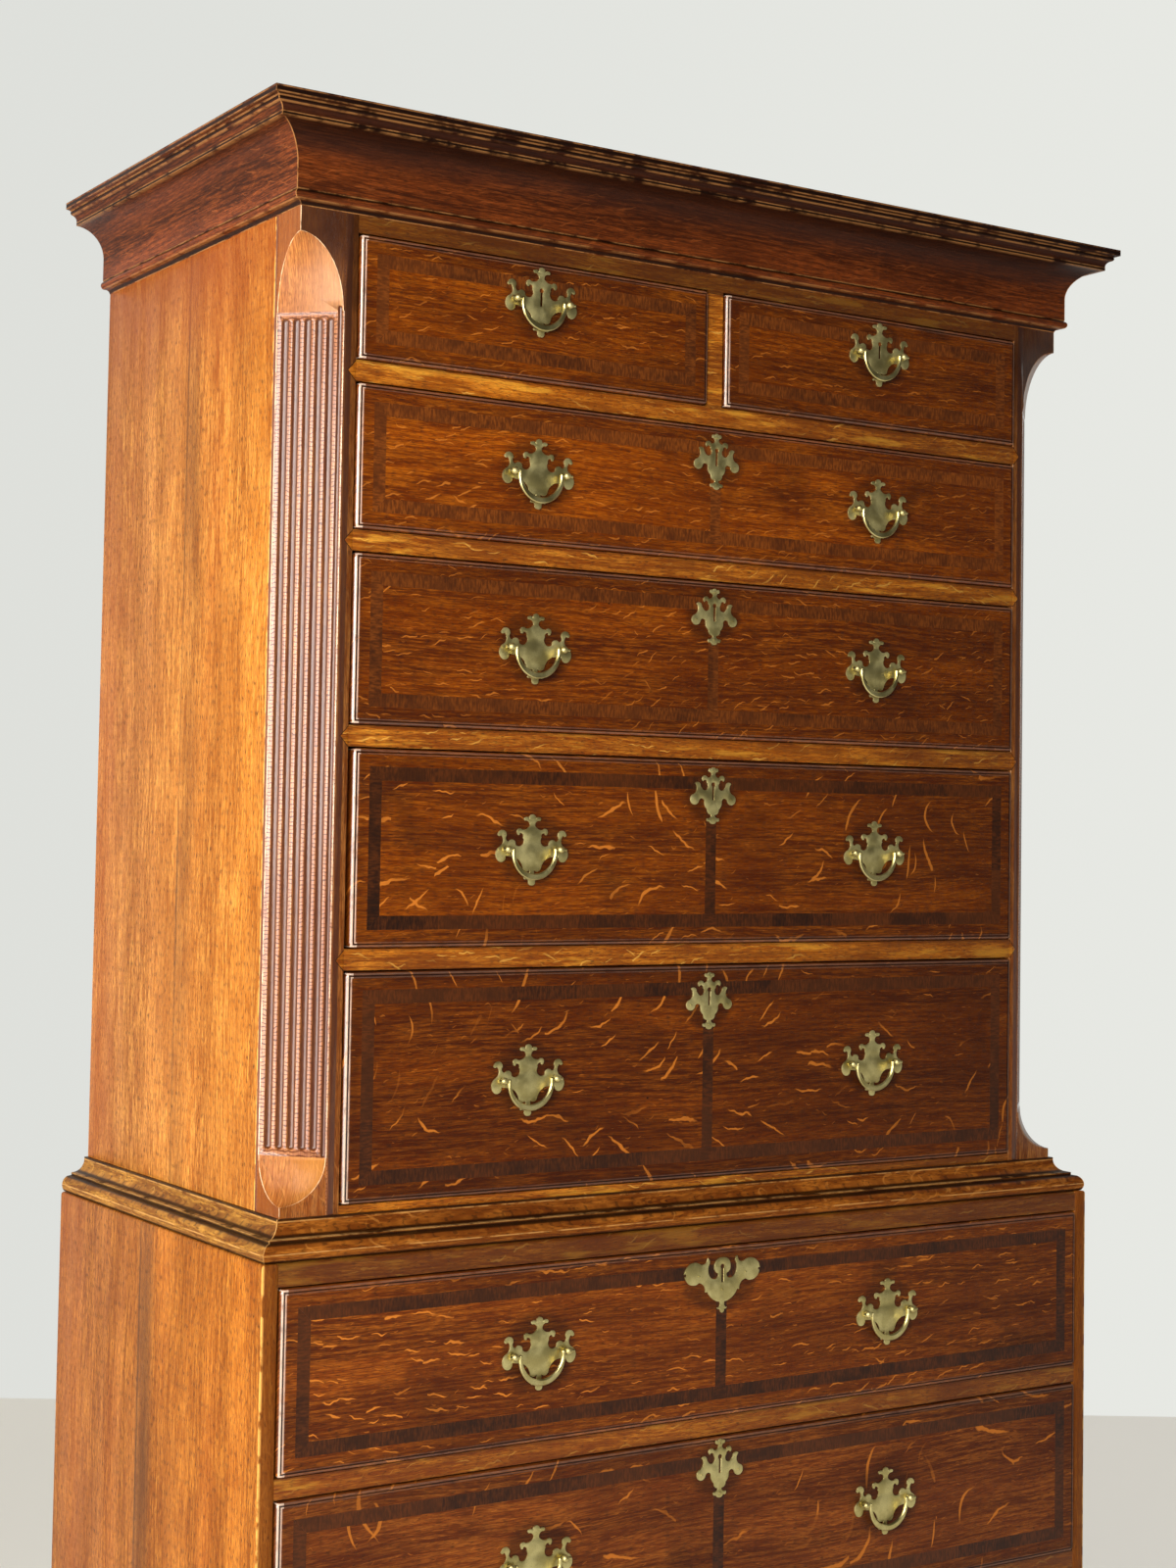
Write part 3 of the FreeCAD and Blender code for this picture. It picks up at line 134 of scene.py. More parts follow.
def room_material(name, left_shade, right_shade, seen_share):
    """Matt paint, which shows its full shade where it is seen directly or in a reflection."""
    material, tree, shader = blank_material(name)
    place = add(tree, "TexCoord").outputs["Object"]
    sideways = add(tree, "VectorMath", {0: place, 1: level}, operation="DOT_PRODUCT")
    share = between(tree, sideways.outputs["Value"], -shade_reach, shade_reach)
    tint = mixed(tree, share, left_shade + (1,), right_shade + (1,))
    tree.links.new(tint, shader.inputs["Base Color"])
    shader.inputs["Roughness"].default_value = 0.9
    glow = add(tree, "Emission", {"Color": tint})
    ways = add(tree, "LightPath").outputs
    seen = maths(tree, "MAXIMUM", ways["Is Camera Ray"], ways["Is Glossy Ray"])
    seen = maths(tree, "MAXIMUM", seen, ways["Is Transmission Ray"])
    seen = maths(tree, "MULTIPLY", seen, seen_share)
    both = add(tree, "MixShader", {0: seen, 1: shader.outputs[0], 2: glow.outputs[0]})
    tree.links.new(both.outputs[0], tree.nodes["Material Output"].inputs["Surface"])
    return material


def flat_sheet(name, corners, material):
    """One plane of the room."""
    shape = bmesh.new()
    shape.faces.new([shape.verts.new(corner) for corner in corners])
    mesh = bpy.data.meshes.new(name)
    shape.to_mesh(mesh)
    shape.free()
    mesh.materials.append(material)
    sheet = bpy.data.objects.new(name, mesh)
    bpy.context.scene.collection.objects.link(sheet)


wall_distance = 5.24
room_half = 9.0
wall_height = Vector((0, 0, 7.0))
shade_reach = 1.5
wall_middle = Vector((camera_place.x, camera_place.y, 0)) + wall_distance * Vector(
    (-math.sin(camera_turn), math.cos(camera_turn), 0))
wall_left = wall_middle - room_half * level
wall_right = wall_middle + room_half * level
toward = 2 * room_half * Vector((math.sin(camera_turn), -math.cos(camera_turn), 0))
# The floor and the wall are painted lighter towards the right, as painted light; on the floor
# it partly makes up for the chest's shadow.
flat_sheet(
    "floor", [wall_left + toward, wall_right + toward, wall_right, wall_left],
    room_material("pale_floor", (0.8, 0.765, 0.685), (0.91, 0.875, 0.795), 0.6))
flat_sheet(
    "backdrop", [wall_left, wall_right, wall_right + wall_height, wall_left + wall_height],
    room_material("pale_wall", (0.735, 0.745, 0.71), (0.8, 0.81, 0.77), 1.0))


# ---------------------------------------------------------------- light
# One large soft window on the left of the chest, a weaker soft light in front of it, and the
# faint light of a pale room all round.
def soft_light(name, place, target, width, height, power, tint):
    """A rectangle of soft light that faces its target."""
    lamp = bpy.data.lights.new(name, "AREA")
    lamp.shape = "RECTANGLE"
    lamp.size = width
    lamp.size_y = height
    lamp.energy = power
    lamp.color = tint
    holder = bpy.data.objects.new(name, lamp)
    aim = (Vector(target) - Vector(place)).to_track_quat("-Z", "Y")
    holder.matrix_world = Matrix.Translation(place) @ aim.to_matrix().to_4x4()
    bpy.context.scene.collection.objects.link(holder)


soft_light(
    "window", place=(-3.15, -0.7, 1.3), target=(-0.4, 0.1, 1.2), width=2.8, height=1.7,
    power=112, tint=(1.0, 0.98, 0.95))
soft_light(
    "front_fill", place=(-2.3, -2.4, 1.9), target=(-0.1, 0, 1.1), width=1.8, height=1.4,
    power=88, tint=(1.0, 0.97, 0.94))
world = bpy.data.worlds.new("room_light")
world.use_nodes = True
sky = world.node_tree.nodes["Background"]
sky.inputs["Color"].default_value = (0.9, 0.9, 0.9, 1)
sky.inputs["Strength"].default_value = 0.1
bpy.context.scene.world = world
bpy.context.scene.view_settings.view_transform = "Standard"


# ---------------------------------------------------------------- oak
# Quarter-sawn oak: short dashes of grain, dark open pores, and bright flecks where rays lie in
# the surface.  The grain of each board runs along X in the place that the figure is given.
def group_of(name, inputs, outputs):
    """An empty group with its named sockets, and its inner ends."""
    tree = bpy.data.node_groups.new(name, "ShaderNodeTree")
    for socket, kind, value in inputs:
        made = tree.interface.new_socket(
            socket, in_out="INPUT", socket_type="NodeSocket" + kind)
        made.default_value = value
    for socket, kind in outputs:
        tree.interface.new_socket(socket, in_out="OUTPUT", socket_type="NodeSocket" + kind)
    given = tree.nodes.new("NodeGroupInput").outputs
    return tree, given, tree.nodes.new("NodeGroupOutput").inputs


def stretched(tree, vector, scale, turn=(0, 0, 0), shift=(0, 0, 0)):
    """A place scaled, turned and shifted, so that a pattern on it is."""
    return add(tree, "Mapping", {
        "Vector": vector, "Scale": scale, "Rotation": turn, "Location": shift,
    }).outputs["Vector"]


def grain_noise(tree, flat, along, across, detail=2.0, roughness=0.5):
    """Noise drawn out along the grain: so many spots to the metre each way."""
    drawn = stretched(tree, flat, (along, across, 1))
    return noise(tree, drawn, 1.0, detail, roughness, "2D")


def strokes(tree, flat, cell, slant, spread, length, width, bend, share):
    """Curved strokes strewn one to a cell, each with its own slant, length and bend."""
    least = maths(tree, "MULTIPLY_ADD", spread, -0.5, slant)
    spot = add(tree, "TexVoronoi", {
        "Vector": stretched(tree, flat, (1 / cell, 1 / cell, 1)), "Scale": 1.0,
    }, voronoi_dimensions="2D").outputs
    centre = stretched(tree, spot["Position"], (cell, cell, 1))
    away = add(tree, "VectorMath", {0: flat, 1: centre}, operation="SUBTRACT").outputs[0]
    own = add(tree, "SeparateColor", {"Color": spot["Color"]}).outputs
    angle = maths(tree, "MULTIPLY_ADD", own["Red"], spread, least)
    turned = add(tree, "VectorRotate", {"Vector": away, "Angle": angle}, rotation_type="Z_AXIS")
    part = add(tree, "SeparateXYZ", {"Vector": turned.outputs[0]}).outputs
    curve = maths(tree, "MULTIPLY_ADD", own["Green"], bend, -bend / 2)
    curve = maths(tree, "MULTIPLY", curve, maths(tree, "MULTIPLY", part["X"], part["X"]))
    wide = maths(tree, "MULTIPLY_ADD", own["Blue"], 1.1 * width, 0.5 * width)
    aside = maths(tree, "DIVIDE", maths(tree, "SUBTRACT", part["Y"], curve), wide)
    reach = maths(tree, "MULTIPLY_ADD", own["Blue"], 0.7 * length, 0.3 * length)
    onward = maths(tree, "DIVIDE", part["X"], reach)
    gap = maths(tree, "ADD", maths(tree, "MULTIPLY", aside, aside),
                maths(tree, "MULTIPLY", onward, onward))
    there = add(tree, "TexWhiteNoise", {"Vector": spot["Position"]}, noise_dimensions="2D")
    there = maths(tree, "LESS_THAN", there.outputs["Value"], share)
    return maths(tree, "MULTIPLY", between(tree, gap, 0.35, 1.0, 1, 0), there)


def oak_figure():
    """Colour, height and roughness of oak from a place whose X runs along the grain."""
    tree, given, result = group_of(
        "oak_figure",
        [("Place", "Vector", (0, 0, 0)), ("Deep", "Color", (0.09, 0.03, 0.01, 1)),
         ("Middle", "Color", (0.2, 0.07, 0.02, 1)), ("Light", "Color", (0.35, 0.13, 0.04, 1)),
         ("Fleck", "Color", (0.5, 0.2, 0.06, 1)), ("Fleck Share", "Float", 0.5),
         ("Fleck Slant", "Float", 0.3), ("Fleck Size", "Float", 1.0), ("Pores", "Float", 0.5)],
        [("Color", "Color"), ("Height", "Float"), ("Roughness", "Float")])
    apart = add(tree, "SeparateXYZ", {"Vector": given["Place"]}).outputs
    across = maths(tree, "MULTIPLY_ADD", apart["Y"], 0.8, apart["Z"])
    plain = add(tree, "CombineXYZ", {"X": apart["X"], "Y": across}).outputs[0]
    sway = grain_noise(tree, plain, along=3, across=6, detail=1.0)
    sway = maths(tree, "MULTIPLY_ADD", sway, 0.02, across)
    flat = add(tree, "CombineXYZ", {"X": apart["X"], "Y": sway}).outputs[0]
    bands = grain_noise(tree, flat, along=1.6, across=30, detail=3.0)
    lines = grain_noise(tree, flat, along=16, across=300, roughness=0.6)
    dashes = grain_noise(tree, flat, along=70, across=900)
    pores = grain_noise(tree, flat, along=130, across=1300, detail=1.0)
    patches = grain_noise(tree, plain, along=5, across=12, detail=3.0, roughness=0.6)
    base = mixed(tree, between(tree, bands, 0.36, 0.64), given["Deep"], given["Middle"])
    base = mixed(tree, between(tree, lines, 0.38, 0.66, 0, 0.6), base, given["Light"])
    base = mixed(tree, between(tree, lines, 0.3, 0.46, 0.5, 0), base, given["Deep"])
    base = mixed(tree, between(tree, dashes, 0.4, 0.62, 0.45, 0), base, given["Deep"])
    base = mixed(tree, between(tree, dashes, 0.56, 0.68, 0, 0.3), base, given["Light"])
    base = mixed(tree, between(tree, patches, 0.38, 0.6, 0.45, 0), base, given["Deep"])
    open_pore = between(tree, pores, 0.58, 0.68)
    pored = maths(tree, "MULTIPLY", open_pore, given["Pores"])
    base = mixed(tree, pored, base, (0.02, 0.008, 0.003, 1))
    wobble = grain_noise(tree, plain, along=90, across=90, detail=1.0)
    wobble = maths(tree, "MULTIPLY_ADD", wobble, 0.006, across)
    ray_flat = add(tree, "CombineXYZ", {"X": apart["X"], "Y": wobble}).outputs[0]
    smaller = maths(tree, "DIVIDE", 1.0, given["Fleck Size"])
    sized = add(tree, "VectorMath", {0: ray_flat, "Scale": smaller}, operation="SCALE")
    sized = sized.outputs[0]
    drift = grain_noise(tree, plain, along=3, across=5, detail=0.0)
    drift = maths(tree, "MULTIPLY_ADD", drift, -5.0, 1.9)
    lean = maths(tree, "MULTIPLY", given["Fleck Slant"], drift)
    spread = maths(tree, "MULTIPLY_ADD", given["Fleck Slant"], 0.5, 0.2)
    main = strokes(
        tree, sized, cell=0.024, slant=lean, spread=spread, length=0.0165, width=0.0008,
        bend=40.0, share=0.75)
    cross = strokes(
        tree, stretched(tree, sized, (1, 1, 1), shift=(0.3, 0.7, 0)), cell=0.026,
        slant=maths(tree, "MULTIPLY", lean, -0.8), spread=spread, length=0.013, width=0.0008,
        bend=55.0, share=0.12)
    main = maths(tree, "MAXIMUM", main, cross)
    small = strokes(
        tree, ray_flat, cell=0.011, slant=-0.15, spread=0.9, length=0.0045, width=0.00045,
        bend=160.0, share=0.25)
    field = grain_noise(tree, plain, along=6, across=9, detail=1.0)
    fleck = maths(tree, "MULTIPLY", main, between(tree, field, 0.35, 0.47, 0.15, 1))
    fleck = maths(tree, "MAXIMUM", fleck, maths(tree, "MULTIPLY", small, 0.4))
    fleck = maths(tree, "MULTIPLY", fleck, given["Fleck Share"])
    tree.links.new(mixed(tree, fleck, base, given["Fleck"]), result["Color"])
    height = maths(tree, "SUBTRACT", maths(tree, "MULTIPLY", dashes, 0.6), open_pore)
    tree.links.new(height, result["Height"])
    tree.links.new(between(tree, bands, 0.3, 0.7, 0.44, 0.32), result["Roughness"])
    return tree


oak = oak_figure()


def place_group(tree, group, sockets):
    """A node group put in a material with its own values; its outputs."""
    made = add(tree, "Group")
    made.node_tree = group
    for name, value in sockets.items():
        feed(tree, made.inputs[name], value)
    return made.outputs


def shade(rgb):
    """A colour as it is seen, as the shader reads it."""
    return tuple(
        (part / 12.92 if part <= 0.04045 else ((part + 0.055) / 1.055) ** 2.4)
        for part in (value / 255 for value in rgb)) + (1.0,)


def wax(tree, shader, colour, height, roughness, depth=0.0002, coat=0.05, gloss=0.25):
    """Old wax over wood: soft gloss, and the grain just felt under it."""
    feed(tree, shader.inputs["Base Color"], colour)
    feed(tree, shader.inputs["Roughness"], roughness)
    feed(tree, shader.inputs["Coat Weight"], coat)
    bump = add(tree, "Bump", {"Height": height, "Distance": depth, "Strength": 0.6})
    feed(tree, shader.inputs["Normal"], bump.outputs["Normal"])
    shader.inputs["Coat Roughness"].default_value = 0.16
    shader.inputs["Specular IOR Level"].default_value = gloss


def dress(name, material):
    """Put a material on every slot of a node of the frame."""
    mesh = nodes[name].data
    if not mesh.materials:
        mesh.materials.append(material)
    for index in range(len(mesh.materials)):
        mesh.materials[index] = material


def softened(name, piece_name, width, angle, material, body, chosen=None):
    """A node's own shape again, its sharp edges rubbed round, in place of the node.

    Edges sharper than the angle, in degrees, are rubbed; chosen can leave some of them out.
    """
    same_point = 1e-5
    speck = 1e-7
    shape = bmesh.new()
    shape.from_mesh(nodes[name].data)
    bmesh.ops.remove_doubles(shape, verts=shape.verts, dist=same_point)
    sharp = [
        edge for edge in shape.edges
        if len(edge.link_faces) == 2 and edge.calc_face_angle() > math.radians(angle)
        and (chosen is None or chosen(edge))
    ]
    bmesh.ops.bevel(
        shape, geom=sharp, offset=width, segments=2, profile=0.5, affect="EDGES",
        clamp_overlap=False, material=-1)
    bmesh.ops.dissolve_degenerate(shape, dist=speck, edges=shape.edges)
    mesh = bpy.data.meshes.new(piece_name)
    shape.to_mesh(mesh)
    shape.free()
    mesh.shade_smooth()
    mesh.set_sharp_from_angle(angle=math.radians(32))
    mesh.materials.append(material)
    piece = bpy.data.objects.new(piece_name, mesh)
    bpy.context.scene.collection.objects.link(piece)
    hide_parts(name)
    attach(piece, body)


# ---------------------------------------------------------------- carcass sides
# Wide boards of golden oak, the grain upright, glued up from two planks and dovetailed to tops
# and bottoms.  A dark streak runs beside the joint, painted shade darkens them under the
# cornice, and the front arrises are pale from rubbing and from painted highlights.
upright = (0, math.pi / 2, 0)
side_wear = 0.001
joint_place = 0.044
streak_place = 0.051
streak_sway = 0.05
shade_from_height = 1.76
shade_full_height = 1.93
side_fleck = (244, 168, 78)
streak_brown = (88, 52, 24)
side_red = (190, 90, 28)
painted_shade_brown = (138, 62, 22)
front_edge_brown = (104, 52, 16)
wear_and_highlight_gold = (238, 176, 88)


def side_material(name, front, half, tones):
    """Upright oak: joint, streak, painted shade, pale arris; tones are deep, middle, light."""
    material, tree, shader = blank_material(name)
    place = add(tree, "TexCoord").outputs["Object"]
    apart = add(tree, "SeparateXYZ", {"Vector": place}).outputs
    figure = place_group(tree, oak, {
        "Place": stretched(tree, place, (1, 1, 1), upright),
        "Deep": shade(tones[0]), "Middle": shade(tones[1]),
        "Light": shade(tones[2]), "Fleck": shade(side_fleck),
        "Fleck Share": 0.12, "Pores": 0.7})
    wander = noise(tree, stretched(tree, place, (1, 1, 1.6)), 1.0)
    wander = maths(tree, "MULTIPLY_ADD", wander, streak_sway, apart["Y"])
    off_streak = maths(tree, "ABSOLUTE", maths(tree, "SUBTRACT", wander, streak_place))
    off_joint = maths(tree, "ABSOLUTE", maths(tree, "SUBTRACT", apart["Y"], joint_place))
    strength = between(tree, apart["Z"], 0.5, 1.0, 0.8, 0.42)
    streak = maths(
        tree, "MULTIPLY", between(tree, off_streak, 0.004, 0.032, 1, 0), strength)
    streak = maths(tree, "ADD", streak, between(tree, off_joint, 0.0008, 0.003, 0.6, 0))
    patchy = noise(tree, stretched(tree, place, (1, 8, 3)), 1.0, 3.0)
    patchy = between(tree, patchy, 0.35, 0.6, 0.5, 1.0)
    streak = maths(tree, "MULTIPLY", streak, patchy)
    colour = mixed(tree, streak, figure["Color"], shade(streak_brown))
    red = noise(tree, stretched(tree, place, (1, 6, 0.9)), 1.0)
    red = between(tree, red, 0.45, 0.68, 0, 0.25)
    colour = mixed(tree, red, colour, shade(side_red))
    # Painted shade: the boards are darkened towards the top, under the cornice.
    under_cornice_shade = noise(tree, stretched(tree, place, (1, 5, 1)), 1.0, 3.0)
    under_cornice_shade = maths(tree, "MULTIPLY_ADD", under_cornice_shade, 0.16, apart["Z"])
    under_cornice_shade = between(tree, under_cornice_shade, shade_from_height, shade_full_height, 0, 0.6)
    colour = mixed(tree, under_cornice_shade, colour, shade(painted_shade_brown))
    behind = maths(tree, "SUBTRACT", apart["Y"], front)
    inward = maths(tree, "SUBTRACT", half, maths(tree, "ABSOLUTE", apart["X"]))
    # The front arrises are painted pale: partly wear, partly a painted highlight.
    arris_wear_and_highlight = between(tree, maths(tree, "MAXIMUM", behind, inward), 0.0008, 0.003, 0.8, 0)
    on_front = between(tree, behind, 0.0001, 0.0004, 0.6, 0)
    colour = mixed(tree, on_front, colour, shade(front_edge_brown))
    rubbed = between(tree, noise(tree, place, 60.0, 3.0), 0.4, 0.55)
    colour = mixed(tree, maths(tree, "MULTIPLY", arris_wear_and_highlight, rubbed), colour, shade(wear_and_highlight_gold))
    wax(tree, shader, colour, figure["Height"], figure["Roughness"], coat=0.02, gloss=0.1)
    return material


for name, body, tones in (
        ("lower_sides", "lower_case", ((130, 68, 16), (176, 102, 30), (208, 134, 50))),
        ("upper_sides", "upper_case", ((148, 82, 24), (198, 122, 42), (230, 160, 74)))):
    low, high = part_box(name)
    softened(
        name, name + "_rubbed", side_wear, 60,
        side_material(name + "_oak", low[1], high[0], tones), body)


# ---------------------------------------------------------------- rails
# Narrow strips of oak between the drawers, housed in the sides and posts, and darker along
# their edges.  The upper case's are orange and the lower case's redder; painted shade darkens
# the ones under the mouldings and all of them towards the right.
upper_low, upper_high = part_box("upper_sides")
lower_low, lower_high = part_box("lower_sides")
upper_half = upper_high[0]
lower_half = lower_high[0]
lower_front = lower_low[1]
upper_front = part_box("upper_rails")[0][1]
seam = upper_low[2]
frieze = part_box("upper_short_left_drawer")[1][2]
first_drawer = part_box("lower_long_1_drawer")[1][2]
rail_pairs = [
    (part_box(under + "_drawer")[1][2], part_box(over + "_drawer")[0][2]) for over, under in (
        ("upper_short_left", "upper_long_1"), ("upper_long_1", "upper_long_2"),
        ("upper_long_2", "upper_long_3"), ("upper_long_3", "upper_long_4"),
        ("lower_long_1", "lower_long_2"), ("lower_long_2", "lower_long_3"))]
rail_edges = [edge for pair in rail_pairs for edge in pair]
past_edge = 0.002
rail_tones = ((130, 62, 8), (194, 108, 20), (232, 148, 44))
rail_fleck = (246, 186, 84)
streak_dark = (112, 54, 10)
streak_pale = (250, 182, 60)
lower_rail_red = (96, 42, 14)
rail_edge_dark = (66, 30, 8)
rail_shadow = (56, 26, 9)


def rail_colour(tree, place, height):
    """Orange oak, painted shade under the cornice, under the seam and to the right; darker
    edges.

    Returns the colour and the outputs of the oak figure under it.
    """
    figure = place_group(tree, oak, {
        "Place": place, "Deep": shade(rail_tones[0]), "Middle": shade(rail_tones[1]),
        "Light": shade(rail_tones[2]), "Fleck": shade(rail_fleck),
        "Fleck Share": 0.5, "Pores": 0.6})
    high = maths(tree, "GREATER_THAN", height, frieze - past_edge)
    under_seam = maths(tree, "GREATER_THAN", height, first_drawer - past_edge)
    under_seam = maths(tree, "MULTIPLY", under_seam, maths(tree, "LESS_THAN", height, seam))
    streaks = noise(tree, stretched(tree, place, (11, 1, 90)), 1.0, 3.0, 0.6)
    colour = mixed(tree, between(tree, streaks, 0.36, 0.5, 0.55, 0), figure["Color"],
                   shade(streak_dark))
    colour = mixed(tree, between(tree, streaks, 0.55, 0.68, 0, 0.4), colour,
                   shade(streak_pale))
    in_lower = maths(tree, "MULTIPLY", maths(tree, "LESS_THAN", height, seam), 0.38)
    colour = mixed(tree, in_lower, colour, shade(lower_rail_red))
    # Darker along the edges next to the drawers.
    gap = 1.0
    for edge in rail_edges:
        gap = maths(tree, "MINIMUM", gap, maths(
            tree, "ABSOLUTE", maths(tree, "SUBTRACT", height, edge)))
    colour = mixed(tree, between(tree, gap, 0.0008, 0.0035, 0.5, 0), colour, shade(rail_edge_dark))
    # Painted shade: the rail under the cornice and the one under the seam are darkened, and all
    # the rails towards the right.
    dark = maths(tree, "MAXIMUM", maths(tree, "MULTIPLY", high, 0.78),
                 maths(tree, "MULTIPLY", under_seam, 0.55))
    across = add(tree, "SeparateXYZ", {"Vector": place}).outputs["X"]
    dark = maths(tree, "MAXIMUM", dark, between(tree, across, -0.15, 0.42, 0, 0.4))
    return mixed(tree, dark, colour, shade(rail_shadow)), figure


def rail_material():
    """The rails' oak, waxed."""
    material, tree, shader = blank_material("rail_oak")
    place = add(tree, "TexCoord").outputs["Object"]
    height = add(tree, "SeparateXYZ", {"Vector": place}).outputs["Z"]
    colour, figure = rail_colour(tree, place, height)
    wax(tree, shader, colour, figure["Height"], figure["Roughness"])
    return material


rail_oak = rail_material()
dress("lower_rails", rail_oak)
dress("upper_rails", rail_oak)


# ---------------------------------------------------------------- canted corners
# Upright oak posts with five flutes and lamb's tongue stops, cut by hand and darkened in the
# hollows, rubbed pale on the arrises, with painted highlights there and a painted sheen on the
# lands and stops, and painted shade near the cornice.  The ends of the rails run into them in a
# shallow V.
cant_width = 0.05
corner_wear = 0.0004
long_arris = 0.03
deepest_flute = 0.006
edge_of_face = 0.0002
chatter_turns = 1500.0
top_darker = 0.2
opening_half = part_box("upper_rails")[1][0]
v_reach = 0.010
corner_tones = ((128, 66, 24), (176, 104, 44), (210, 140, 70))
corner_fleck = (230, 160, 86)
hollow_brown = (70, 36, 26)
land_sheen_pink = (226, 170, 146)
chatter_brown = (84, 38, 16)
post_dirt_and_shade = (54, 25, 9)
post_side = (112, 52, 18)
lower_stop_sheen = (220, 148, 66)
upper_stop_sheen = (220, 166, 122)
wear_and_highlight_cream = (240, 206, 164)
v_line = (34, 16, 6)


def corner_material():
    """Oak, told apart by how deep under the canted face it lies: stops, lands and flutes."""
    material, tree, shader = blank_material("corner_oak")
    place = add(tree, "TexCoord").outputs["Object"]
    apart = add(tree, "SeparateXYZ", {"Vector": place}).outputs
    figure = place_group(tree, oak, {
        "Place": stretched(tree, place, (1, 1, 1), upright),
        "Deep": shade(corner_tones[0]), "Middle": shade(corner_tones[1]),
        "Light": shade(corner_tones[2]), "Fleck": shade(corner_fleck),
        "Fleck Share": 0.15, "Pores": 0.5})
    sideways = maths(tree, "ABSOLUTE", apart["X"])
    outward = maths(tree, "SUBTRACT", sideways, apart["Y"])
    face = upper_half - upper_front - cant_width
    depth = maths(tree, "MULTIPLY", maths(tree, "SUBTRACT", face, outward), math.sqrt(0.5))
    in_flute = between(tree, depth, deepest_flute, deepest_flute + 0.0005, 1, 0)
    hollow = maths(tree, "MULTIPLY", between(tree, depth, 0.001, 0.0024, 0, 0.8), in_flute)
    colour = mixed(tree, hollow, figure["Color"], shade(hollow_brown))
    beat = maths(tree, "MULTIPLY", noise(tree, place, 140.0, 1.0), 9.0)
    chatter = maths(tree, "SINE", maths(
        tree, "MULTIPLY_ADD", apart["Z"], chatter_turns, beat))
    land = maths(tree, "MULTIPLY", between(tree, depth, 0.0003, 0.0004),
                 between(tree, depth, 0.0007, 0.0012, 1, 0))
    # A painted sheen: the lands are painted a paler pink.
    colour = mixed(tree, maths(tree, "MULTIPLY", land, 0.16), colour, shade(land_sheen_pink))
    chatter = maths(tree, "MULTIPLY", between(tree, chatter, 0.4, 0.9, 0, 0.9), land)
    colour = mixed(tree, chatter, colour, shade(chatter_brown))
    inward = maths(tree, "SUBTRACT", upper_half, sideways)
    behind = maths(tree, "SUBTRACT", apart["Y"], upper_front)
    on_front = maths(tree, "LESS_THAN", behind, edge_of_face)
    # The posts' front faces carry dirt and a painted shade that grows upwards to the cornice.
    dirt_and_cornice_shade = maths(tree, "MULTIPLY_ADD", noise(tree, place, 22.0, 3.0), 0.5, -0.25)
    darker_from = frieze - top_darker
    dirt_and_cornice_shade = maths(tree, "ADD", between(tree, apart["Z"], seam, darker_from, 0.1, 0.5), dirt_and_cornice_shade)
    dirt_and_cornice_shade = maths(tree, "ADD", between(tree, apart["Z"], darker_from, frieze, 0, 0.42), dirt_and_cornice_shade)
    colour = mixed(tree, maths(tree, "MULTIPLY", on_front, dirt_and_cornice_shade), colour, shade(post_dirt_and_shade))
    on_side = maths(tree, "LESS_THAN", inward, edge_of_face)
    colour = mixed(tree, maths(tree, "MULTIPLY", on_side, 0.7), colour, shade(post_side))
    # A painted sheen: the stops are painted paler away from the side.
    stop = maths(tree, "MULTIPLY", between(tree, depth, 0.0001, 0.0003, 1, 0),
                 between(tree, inward, 0.008, 0.044, 0.05, 0.45))
    stop = maths(tree, "MULTIPLY", stop, maths(tree, "GREATER_THAN", behind, edge_of_face))
    stop_tone = mixed(tree, between(tree, apart["Z"], seam + 0.1, seam + 0.5),
                      shade(lower_stop_sheen), shade(upper_stop_sheen))
    colour = mixed(tree, stop, colour, stop_tone)
    # The arrises and the corner are painted pale: partly wear, partly a painted highlight.
    corner = between(tree, maths(tree, "MAXIMUM", inward, behind), 0.0004, 0.0009, 1, 0)
    arris = maths(tree, "MINIMUM", inward, behind)
    arris = maths(tree, "MULTIPLY", between(tree, arris, 0.00012, edge_of_face),
                  between(tree, arris, 0.0005, 0.0009, 1, 0))
    arris = maths(tree, "MAXIMUM", arris, corner)
    rubbed = between(tree, noise(tree, place, 90.0, 3.0), 0.36, 0.6, 0.1, 0.85)
    colour = mixed(tree, maths(tree, "MULTIPLY", arris, rubbed), colour, shade(wear_and_highlight_cream))
    rail, _ = rail_colour(tree, place, apart["Z"])
    for low, high in rail_pairs[:4]:
        middle = (low + high) / 2
        half = (high - low) / 2
        off = maths(tree, "ABSOLUTE", maths(tree, "SUBTRACT", apart["Z"], middle))
        into = maths(tree, "SUBTRACT", sideways, opening_half)
        edge = maths(tree, "SUBTRACT", maths(tree, "SUBTRACT", 1.0, maths(
            tree, "DIVIDE", off, half)), maths(tree, "DIVIDE", into, v_reach))
        edge = maths(tree, "MULTIPLY", edge, on_front)
        colour = mixed(tree, between(tree, edge, 0.0, 0.02), colour, shade(v_line))
        colour = mixed(tree, between(tree, edge, 0.1, 0.14), colour, rail)
    shine = maths(tree, "MULTIPLY", between(tree, depth, 0.0003, 0.0004, 0.05, 0.8), in_flute)
    wax(tree, shader, colour, figure["Height"], 0.34, coat=shine, gloss=0.12)
    shader.inputs["Coat Roughness"].default_value = 0.1
    return material


softened(
    "canted_corners", "canted_corners_rubbed", corner_wear, 35, corner_material(),
    "upper_case", chosen=lambda edge: edge.calc_length() > long_arris)


# ---------------------------------------------------------------- mouldings and feet
# Cornice, waist and base mouldings, run in lengths of oak, mitred at the front corners and
# glued on, over bracket feet of the same oak.  Dusting has rubbed their arrises pale, with
# painted highlights there and on the mitres; dirt and painted shade lie in their quirks;
# painted shade darkens the top of the cove; and the returns are painted lighter as painted
# light.
cove_shade_black = (34, 15, 8)
quirk_dirt_and_shade = (22, 9, 4)


